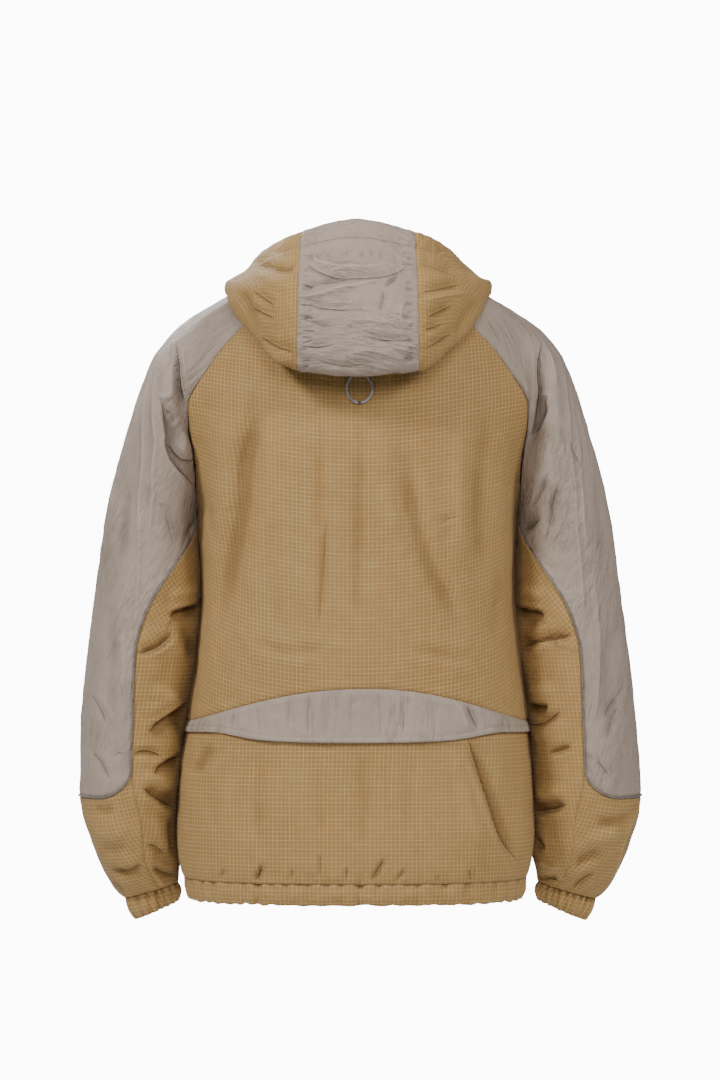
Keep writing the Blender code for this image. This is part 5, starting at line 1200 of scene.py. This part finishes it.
def patch_foot(share):
    """Level of the grey outer sleeve's lower edge; share runs 0..1 across the patch."""
    corner = np.clip(1 - np.minimum(share, 1 - share) / PATCH_CORNER_WIDTH, 0, 1)
    return PATCH_FOOT + PATCH_CORNER * (1 - (1 - corner**2.2) ** 0.62)


def across_patch(level, share, side):
    """From the patch's own share across to the sleeve's share round."""
    seam = seam_share(level, side)
    return seam + (1 - 2 * seam) * share


def sleeve_panel(name, place, side, **kind):
    middle = place.mean(axis=1, keepdims=True) * [0.985, 1, 1]
    return Panel(name, place, place - middle, sewn="left right top foot", **kind)


def sleeve_creases(panel, side):
    other = panel.at * [-1, 1] + [0, FRONT_SHIFT]
    panel.fold_sharply(ARM_CREASES[side], panel.back_seen)
    panel.fold_sharply(ARM_CREASES[-side], panel.front_seen, other)
    return (panel.back_seen * creased(panel.at, ARM_CREASES[side], 1.35)
            + panel.front_seen * creased(other, ARM_CREASES[-side], 1.15))


def outer_columns(level, start, side):
    """Shares across an outer piece of the sleeve, even at a level, and the patch's foot there."""
    across = evenly(lambda t: arm_place(np.full_like(t, level), start + (1 - 2 * start) * t, side),
                    0, 1, PATCH_COLUMNS)
    return across, patch_foot(across)[None]


def make_outer_sleeve(word, side):
    across, foot = outer_columns(-0.30, 0.2, side)
    ring = RAGLAN_LEVELS[RAGLAN_LEVELS >= JOIN][:, None]
    levels = np.concatenate([np.repeat(ring, PATCH_COLUMNS, axis=1), FIRST_RING + (
        foot - FIRST_RING) * steps_down(PATCH_LOWER_ROWS)])
    rounds = across_patch(levels, np.broadcast_to(across, levels.shape), side)
    panel = sleeve_panel("outer_sleeve_" + word, arm_place(levels, rounds, side), side)
    seed = 71 + 10 * side
    panel.relief = (panel.hold() * (sleeve_creases(panel, side) + panel.crinkled(seed, 0.8))
                    + panel.puckers("left", seed + 3, pitch=0.011)
                    + panel.puckers("right", seed + 4, pitch=0.011)
                    + panel.puckers("foot", seed + 5, pitch=0.012) + panel.seams())
    panel.finished(SLEEVE_GREY[side], "grey_nylon", "sleeve_" + word + "_outer")


def armhole_foot(across, side):
    """Points of the armhole's bottom between the two joins, on the body's own edge line."""
    levels = RAGLAN_LEVELS[RAGLAN_LEVELS <= JOIN]
    back, front = (stacked(*raglan(levels, face), levels) for face in (1, -1))
    span = np.concatenate([back, front[-2::-1]])[::-1]
    key = np.concatenate([np.linspace(1, 0, len(levels)), np.linspace(0, -1, len(levels))[1:]])
    x, y, height = (np.interp(across, key[::-1], column) for column in span.T)
    return stacked(side * (x + SEAM_STEP), y, height)


def make_under_sleeve(word, side):
    """From its point at the armpit down to the cuff; the columns run back to front inside."""
    corner = PATCH_FOOT + PATCH_CORNER
    down = np.concatenate([np.linspace(FIRST_RING, corner, PATCH_LOWER_ROWS),
                           np.linspace(corner, CUFF_SEAM, FOREARM_ROWS)[1:]])[:, None]
    across = np.linspace(1, -1, UNDER_COLUMNS)[None]
    shares = seam_share(down, side) * across
    place = np.concatenate([armhole_foot(across[0], side)[None],
                            arm_place(down, np.where(shares < 0, 1 + shares, shares), side)])
    panel = sleeve_panel("under_sleeve_" + word, place, side)
    level = place[..., 2]
    elbow = np.interp(np.abs(panel.at[..., 0]), ELBOW_OUT, ELBOW_LEVEL)
    panel.cut[..., 1] = -level
    panel.cut = turned(panel.cut, side * BIAS_ANGLE * eased((level - elbow) / BIAS_TURN + 0.5),
                       (0.0, -UNDERARM))
    seed = 101 + 10 * side
    full = (SLEEVE_FULL * eased((-side * panel.normals[..., 0] - 0.55) / 0.35)
            * eased((-0.245 - level) / 0.03) * eased((level + 0.645) / 0.03))
    panel.relief = (full + panel.hold() * (sleeve_creases(panel, side) + panel.soft(seed, 1.3))
                    + panel.gathers(seed + 4) + panel.seams())
    panel.finished(TAN_CLOTH, "tan_ripstop", "sleeve_" + word + "_under")


def make_forearm(word, side):
    across, foot = outer_columns(-0.60, 0.1, side)
    levels = foot + (CUFF_SEAM - foot) * steps_down(FOREARM_ROWS)
    rounds = across_patch(levels, np.broadcast_to(across, levels.shape), side)
    panel = sleeve_panel("forearm_" + word, arm_place(levels, rounds, side), side, from_foot=True)
    seed = 131 + 10 * side
    panel.relief = (panel.hold() * (sleeve_creases(panel, side) + panel.soft(seed, 1.3))
                    + panel.gathers(seed + 4) + panel.seams())
    panel.finished(TAN_CLOTH, "tan_ripstop", "sleeve_" + word + "_forearm")


def make_cuff_piece(word, side):
    share = steps_down(CHANNEL_ROWS)
    levels, around = np.broadcast_arrays(CUFF_SEAM - EDGE_LAP + (CUFF_EDGE - CUFF_SEAM) * share,
                                         (np.arange(CUFF_COLUMNS) / CUFF_COLUMNS)[None])
    place = arm_place(levels, around, side)
    panel = Panel("cuff_" + word + "_cloth", place, place - place.mean(axis=1, keepdims=True),
                  closed=True)
    girth, turn = panel.across[0, -1], 2 * math.pi * around
    table = tuck_row(0.004, girth - 0.004, CUFF_GATHERS, 161 + side)
    wave = CUFF_TUCK * tucks(panel.across / panel.across[:, -1:] * girth, table, 0.62)
    seam = bump(share, 0.25) + 0.6 * bump(1 - share, 0.2)
    panel.relief = (channel_form(share) - wave * (0.75 + 0.6 * seam) + 0.0003 * rumple(
        np.cos(turn) * 6, share * 2 + np.sin(turn) * 6, 165) - 0.0006 * bump(share, 0.10))
    return panel.finished(TAN_CLOTH, "tan_ripstop", "cuff_" + word, "gathered", 1.15,
                          wall=DOUBLE, edges=["top"], under=CHANNEL_UNDER)


# ------------------------------------------------------------------ hood
HOOD_ROWS, STRIP_COLUMNS, SIDE_COLUMNS = 140, 52, 96
MOUTH_CHANNEL = 0.0245    # depth of the channel round the face opening
HOOD_BIAS, BIAS_FROM, BIAS_TO = 0.60, 1.3, 2.4


def strip_puckers(seed):
    """Short slanting tucks where the strip is sewn a little fuller than the hood's sides."""
    draw = np.random.default_rng(seed)
    rows = []
    for side in (1, -1):
        for height in np.arange(-88, 44, 8.2):
            height, reach = height + draw.uniform(-2.5, 2.5), draw.uniform(7, 17)
            rows.append((-draw.uniform(0.9, 1.7), 2.2, 3.6, side * 62.5, height,
                         side * (62.5 - reach), height + draw.uniform(-3, 5)))
    for across in np.arange(-52, 56, 11.5):
        across, reach = across + draw.uniform(-3, 3), draw.uniform(6, 12)
        top = 39 - 0.0022 * across ** 2
        rows.append((-draw.uniform(0.8, 1.5), 2.2, 3.2, across, top,
                     across + draw.uniform(-5, 5), top - reach))
    return HOOD_CREASES + tuple(rows)


HOOD_FOLDS = strip_puckers(3)


def make_hood_piece(name, node, first, last, columns, seed):
    """The strip or a side, between two stations; a side is cut from its seam with the strip."""
    shares = evenly(lambda t: hood_place(np.full_like(t, 1.0), t), 0, 1, HOOD_ROWS)[:, None]
    stations, shares = np.broadcast_arrays(np.linspace(first, last, columns)[None], shares)
    tan, left = node != "hood_centre", first > 0
    low = np.arange(HOOD_ROWS)[:, None, None] > int(0.75 * HOOD_ROWS)
    panel = Panel(name, hood_place(stations, shares),
                  low * (np.abs(stations) < 2.2)[..., None] * BACKWARD, from_foot=True,
                  middle=(0 if left else columns - 1) if tan else None,
                  sewn=("left" if left else "right") if tan else "left right")
    mouth = panel.from_edge("foot")
    channel = (0.0009 * bump(mouth - 0.011, 0.008) - 0.0010 * bump(mouth - MOUTH_CHANNEL, 0.0016)
               + 0.0006 * bump(mouth - MOUTH_CHANNEL - 0.005, 0.003))
    cloth = panel.soft(seed, 1.2) if tan else panel.crinkled(seed, 1.25)
    panel.relief = (panel.hold(0.006) * (
        panel.back_seen * creased(panel.at, HOOD_FOLDS, 1.25) + cloth) + channel
        + panel.puckers("foot", seed + 5, pitch=0.014, depth=0.0012) + panel.seams())
    for edge in panel.sewn:
        panel.relief += panel.puckers(edge, seed + 6, depth=0.0016)
    if tan:
        way = np.sign(stations)
        panel.cut = turned(panel.cut, way * HOOD_BIAS * eased(
            (np.abs(stations) - BIAS_FROM) / (BIAS_TO - BIAS_FROM)), (way[0, 0] * 0.10, -0.10))
    panel.fold_sharply(HOOD_FOLDS, panel.back_seen)
    panel.sewn_down(mouth - MOUTH_CHANNEL, 0.45 + 0.35 * rumple(stations * 7, mouth * 0, seed + 7))
    return panel.finished(HOOD_TAN if tan else STRIP_GREY,
                          "tan_ripstop" if tan else "grey_nylon", node)


# ------------------------------------------------------------------ cords and thread
PIPING_RADIUS, PIPING_STAND = 0.0012, 0.0007
# The hang loop's line in mm across and up, from one end under the hood round to the other.
LOOP_LINE = (
    1.6, -84, 3.8, -92, 7.2, -99.5, 11, -106.5, 12.4, -113, 11.2, -120, 6.6, -126.5, -1.6, -129.3,
     -9.6, -126.8, -14.8, -120, -16, -113, -14.2, -106.5, -9.4, -99.5, -5, -92, -1.8, -84)
LOOP_CORD_RADIUS = 0.0013
TACK_THREADS, THREAD_RADIUS = 7, 0.00022


def cord_mesh(name, lines, radius, sides):
    """Round cords along lines of points, with their UV map as turns round and metres along."""
    vertices, faces, flat = [], [], []
    angles = np.linspace(0, 2 * math.pi, sides, endpoint=False)[:, None]
    for points in lines:
        heading = unit(np.gradient(points, axis=0))
        side, start, count = np.cross(heading[0], [0.0, 1.0, 0.2]), len(vertices), len(points)
        for point, way in zip(points, heading):
            side = unit(side - way * (side @ way))
            vertices += (point + radius * (np.cos(angles) * side
                                           + np.sin(angles) * np.cross(way, side))).tolist()
        faces += (start + squares(count, sides, True)).tolist()
        faces += [[start + i for i in range(sides)][::-1],
                  [start + i for i in range((count - 1) * sides, count * sides)]]
        length = arcs(points[None], 1)[0]
        for near, far in zip(length, length[1:]):
            for j in range(sides):
                flat += [(j / sides, near), ((j + 1) / sides, near), ((j + 1) / sides, far),
                         (j / sides, far)]
        flat += [(0, 0)] * sides + [(0, length[-1])] * sides
    return mesh_of(name, vertices, faces, flat)


def make_piping_piece(word, side):
    """Cord on the edge of the grey outer sleeve, from armpit to elbow and back up in front."""
    down = np.linspace(-0.262, PATCH_FOOT + PATCH_CORNER, 90)
    across = np.linspace(0, 1, 150)[1:-1]
    foot = patch_foot(across)
    levels = np.concatenate([down, foot, down[::-1]])
    shares = np.concatenate([seam_share(down, side), across_patch(foot, across, side),
                             1 - seam_share(down[::-1], side)])
    points, step = arm_place(levels, shares, side), 2e-4

    def slope(a, b):
        return (arm_place(levels + a, np.clip(shares + b, 0, 1), side)
                - arm_place(levels - a, np.clip(shares - b, 0, 1), side))
    normals = unit(np.cross(slope(step, 0), slope(0, step)))
    if (normals * (points - [side * 0.235, -0.01, 0]))[:, :2].sum() < 0:
        normals = -normals
    name = "piping_" + word + "_cord"
    mesh = cord_mesh(name, [points + normals * PIPING_STAND], PIPING_RADIUS, 8)
    shown(name, mesh, PIPING_CORD, "grey_piping", "piping_" + word)


def on_back(x, z):
    """The point of the plain back at a distance across and a height."""
    level, y = z, 0.14
    for _ in range(12):
        half, depth, _ = oval(level, 1)
        y = depth * max(1 - (abs(x) / half) ** SQUARENESS, 0) ** (1 / SQUARENESS)
        level = z - lean(level) * y
    return np.array([x, y, z], float)


def make_hang_loop():
    """The ring of cord, and the bar tack's threads side by side over its lowest point."""
    shrink = (VIEW_FROM - 0.145) / VIEW_FROM
    points = np.array([
        on_back(x * shrink, EYE_LEVEL + (z - EYE_LEVEL) * shrink)
        for x, z in flowing(LOOP_LINE, 8)]) + [0, LOOP_CORD_RADIUS + 0.0012, 0]
    shown("hang_loop_cord", cord_mesh("hang_loop_cord", [points], LOOP_CORD_RADIUS, 10),
          LOOP_CORD, "steel_cord", "hang_loop")
    angle, reach = np.radians(np.linspace(-25, 205, 14)), LOOP_CORD_RADIUS + THREAD_RADIUS
    threads = [points[np.argmin(points[:, 2])] + stacked(
        (i - (TACK_THREADS - 1) / 2) * 2.1 * THREAD_RADIUS, np.sin(angle) * reach,
        np.cos(angle) * reach) for i in range(TACK_THREADS)]
    shown("loop_tack_threads", cord_mesh("loop_tack_threads", threads, THREAD_RADIUS, 6),
          TACK_THREAD, "steel_cord", "loop_tack")


def repeat_tree(name):
    """Small rounded beads set along the lines of a mesh, all in one finish."""
    tree = bpy.data.node_groups.new(name, "GeometryNodeTree")
    sockets = [tree.interface.new_socket(label, in_out="INPUT",
                                         socket_type="NodeSocket" + kind).identifier
               for label, kind in (("Lines", "Geometry"), ("Pitch", "Float"),
                                   ("Size", "Vector"), ("Finish", "Material"))]
    tree.interface.new_socket("Stitches", in_out="OUTPUT", socket_type="NodeSocketGeometry")
    given, lines, spaced, bead, heading, turn, place, real, dress, result = (
        tree.nodes.new(kind) for kind in (
            "NodeGroupInput", "GeometryNodeMeshToCurve", "GeometryNodeResampleCurve",
            "GeometryNodeMeshUVSphere", "GeometryNodeInputTangent",
            "FunctionNodeAlignRotationToVector", "GeometryNodeInstanceOnPoints",
            "GeometryNodeRealizeInstances", "GeometryNodeSetMaterial", "NodeGroupOutput"))
    spaced.mode, turn.axis = "LENGTH", "Z"
    for label, value in (("Segments", 6), ("Rings", 4), ("Radius", 1.0)):
        bead.inputs[label].default_value = value
    for source, output, target, socket in (
            (given, "Lines", lines, "Mesh"), (lines, "Curve", spaced, "Curve"),
            (given, "Pitch", spaced, "Length"), (spaced, "Curve", place, "Points"),
            (bead, "Mesh", place, "Instance"), (heading, "Tangent", turn, "Vector"),
            (turn, "Rotation", place, "Rotation"), (given, "Size", place, "Scale"),
            (place, "Instances", real, "Geometry"), (real, "Geometry", dress, "Geometry"),
            (given, "Finish", dress, "Material"), (dress, "Geometry", result, 0)):
        tree.links.new(source.outputs[output], target.inputs[socket])
    return tree, sockets[1:]


BEADS = repeat_tree("beads_along_lines")


def beads_along(name, lines, pitch, size, finish, slot):
    """Run the repeat along each line and keep the result as one plain mesh."""
    starts = np.cumsum([0] + [len(line) for line in lines])
    edges = [(start + i, start + i + 1) for start, line in zip(starts.tolist(), lines)
             for i in range(len(line) - 1)]
    guide_mesh = bpy.data.meshes.new(name + "_guide")
    guide_mesh.from_pydata(np.concatenate(lines).tolist(), edges, [])
    guide = bpy.data.objects.new(name + "_guide", guide_mesh)
    bpy.context.scene.collection.objects.link(guide)
    repeat = guide.modifiers.new("repeat", "NODES")
    repeat.node_group = BEADS[0]
    for socket, value in zip(BEADS[1], (pitch, size, finish)):
        repeat[socket] = value
    graph = bpy.context.evaluated_depsgraph_get()
    mesh = bpy.data.meshes.new_from_object(guide.evaluated_get(graph), depsgraph=graph)
    bpy.data.objects.remove(guide, do_unlink=True)
    mesh.name = name
    mesh.materials.clear()
    mesh.shade_smooth()
    shown(name, mesh, finish, slot)


def sewn_line(panel, edge, distance, trim=0, lift=0.00012):
    """A line on the finished face of a panel, at a distance from one of its edges."""
    points = panel.place + panel.normals * (panel.relief + lift)[..., None]
    away = panel.from_edge(edge)
    if edge in ("top", "foot"):
        points, away = points.transpose(1, 0, 2), away.T
    line = []
    for row, far in zip(points, away):
        order = np.argsort(far)
        line.append([np.interp(distance, far[order], row[order, k]) for k in range(3)])
    return np.array(line)[trim:len(line) - trim]


# ------------------------------------------------------------------ zip
CHAIN_UNDER = -0.0022     # the tape lies under the cloth's face
TAPE_THICK, CHAIN_RISE, COIL_PITCH, COIL_OUT = 0.0009, 0.0013, 0.0017, 0.0017
TAPE_ACROSS = (0.0003, 0.0018, 0.0036, 0.0060, 0.0085, 0.0110, 0.0122, 0.013)
TAPE_RIB = (0, 0, 0.0001, 0, 0, 0, 0.0001, 0)
ZIP_LEVELS = np.linspace(NECKLINE - 0.004, HEM_EDGE + 0.001, 220)
ZIP_STITCH, VENT_STITCH, CHANNEL_STITCH = 0.0095, 0.0066, 0.0018


def make_tape(word, side):
    """One zip tape at the centre front; gives the line of its half of the coil."""
    turn, step = np.full_like(ZIP_LEVELS, 0.02), 2e-4
    place = body_place(ZIP_LEVELS, turn, -1)
    outward = np.cross(
        body_place(ZIP_LEVELS + step, turn, -1) - body_place(ZIP_LEVELS - step, turn, -1),
        body_place(ZIP_LEVELS, turn + step, -1) - body_place(ZIP_LEVELS, turn - step, -1))
    outward *= np.sign(-outward[:, 1:2])
    place[..., 0], outward[..., 0] = BODY.at("sway", ZIP_LEVELS), 0
    outward = unit(outward)
    points = (place[:, None] + outward[:, None] * (np.array(TAPE_RIB) + CHAIN_UNDER)[:, None]
              + np.array([side, 0, 0]) * np.array(TAPE_ACROSS)[:, None])
    Panel("zip_tape_" + word, points, -BACKWARD, middle=0).finished(
        TAPE_CLOTH, "zip_tape", "zip_" + word, "stretched", wall=TAPE_THICK)
    line = place + outward * (CHAIN_UNDER + CHAIN_RISE * 0.45) + [side * COIL_OUT, 0, 0]
    return line if side > 0 else line + unit(line[1] - line[0]) * COIL_PITCH / 2


# ------------------------------------------------------------------ setting
def placed(name, data, place):
    made = bpy.data.objects.new(name, data)
    made.location = place
    bpy.context.scene.collection.objects.link(made)
    return made


def make_setting():
    lens = bpy.data.cameras.new("camera")
    lens.sensor_width, lens.lens = 36.0, 151.5
    camera = placed("camera", lens, (-0.0022, VIEW_FROM, EYE_LEVEL))
    camera.rotation_euler = (math.pi / 2, 0, math.pi)
    bpy.context.scene.camera = camera
    for name, place, aim, size, power in (("key", (2.5, 2.0, 2.3), -0.3, 0.8, 144),
                                          ("other_side", (-2.5, 2.2, 1.8), -0.3, 1.0, 80),
                                          ("behind_camera", (-0.3, 4.2, 1.5), -0.2, 1.6, 78),
                                          ("front", (1.4, -3.2, 1.9), -0.3, 1.4, 120)):
        lamp = bpy.data.lights.new(name, "AREA")
        lamp.shape, lamp.size, lamp.energy = "DISK", size, power
        way = Vector((0, 0, aim)) - Vector(place)
        placed(name, lamp, place).rotation_euler = way.to_track_quat("-Z", "Y").to_euler()
    world = bpy.context.scene.world = bpy.data.worlds.new("pale_room")
    world.use_nodes = True
    tree = world.node_tree
    tree.nodes.clear()
    output, mix, seen, glow, wall = (tree.nodes.new("ShaderNode" + kind) for kind in (
        "OutputWorld", "MixShader", "LightPath", "Background", "Background"))
    for light, tone, strength in ((glow, 1, 0.20), (wall, 0.98, 12.0)):
        light.inputs["Color"].default_value = (tone, tone, tone, 1)
        light.inputs["Strength"].default_value = strength
    for source, target in ((seen.outputs["Is Camera Ray"], mix.inputs[0]),
                           (glow.outputs[0], mix.inputs[1]), (wall.outputs[0], mix.inputs[2]),
                           (mix.outputs[0], output.inputs["Surface"])):
        tree.links.new(source, target)
    disc = bpy.data.meshes.new("pale_floor")
    angles = np.linspace(0, 2 * math.pi, 96, endpoint=False)
    disc.from_pydata([(2.2 * math.cos(a), 2.2 * math.sin(a), -1.45) for a in angles], [],
                     [tuple(range(96))])
    disc.materials.append(plain_floor("pale_floor"))
    placed("pale_floor", disc, (0, 0, 0))


# ------------------------------------------------------------------ the jacket
make_upper_back()
vent = make_vent()
make_lower_back()
hem = make_hem_channel()
strip = make_hood_piece("hood_middle_strip", "hood_centre", -1, 1, STRIP_COLUMNS, 191)
lines = [sewn_line(strip, "foot", MOUTH_CHANNEL), sewn_line(vent, "foot", VENT_STITCH, 6),
         sewn_line(hem, "top", CHANNEL_STITCH)]
coil = []
for word, side in TWO_SIDES:
    front = make_front(word, side)
    make_outer_sleeve(word, side)
    make_under_sleeve(word, side)
    make_forearm(word, side)
    cuff = make_cuff_piece(word, side)
    make_piping_piece(word, side)
    hood_side = make_hood_piece("hood_side_" + word, "hood_" + word, *sorted((side, 5 * side)),
                                SIDE_COLUMNS, 211 + 10 * side)
    coil.append(make_tape(word, side))
    lines += [sewn_line(hood_side, "foot", MOUTH_CHANNEL), sewn_line(front, "left", ZIP_STITCH),
              sewn_line(cuff, "top", CHANNEL_STITCH)]
make_hang_loop()
beads_along("stitching", lines, 0.0030, (0.00024, 0.00024, 0.00105), TAN_THREAD, "tan_ripstop")
beads_along("zip_coil", coil, COIL_PITCH, (0.0020, 0.00065, 0.00076), TEETH_NYLON, "zip_tape")
for node in ("zip_slider", "zip_pull"):
    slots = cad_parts[node].data.materials
    slots.clear()
    slots.append(ZIP_METAL)
make_setting()
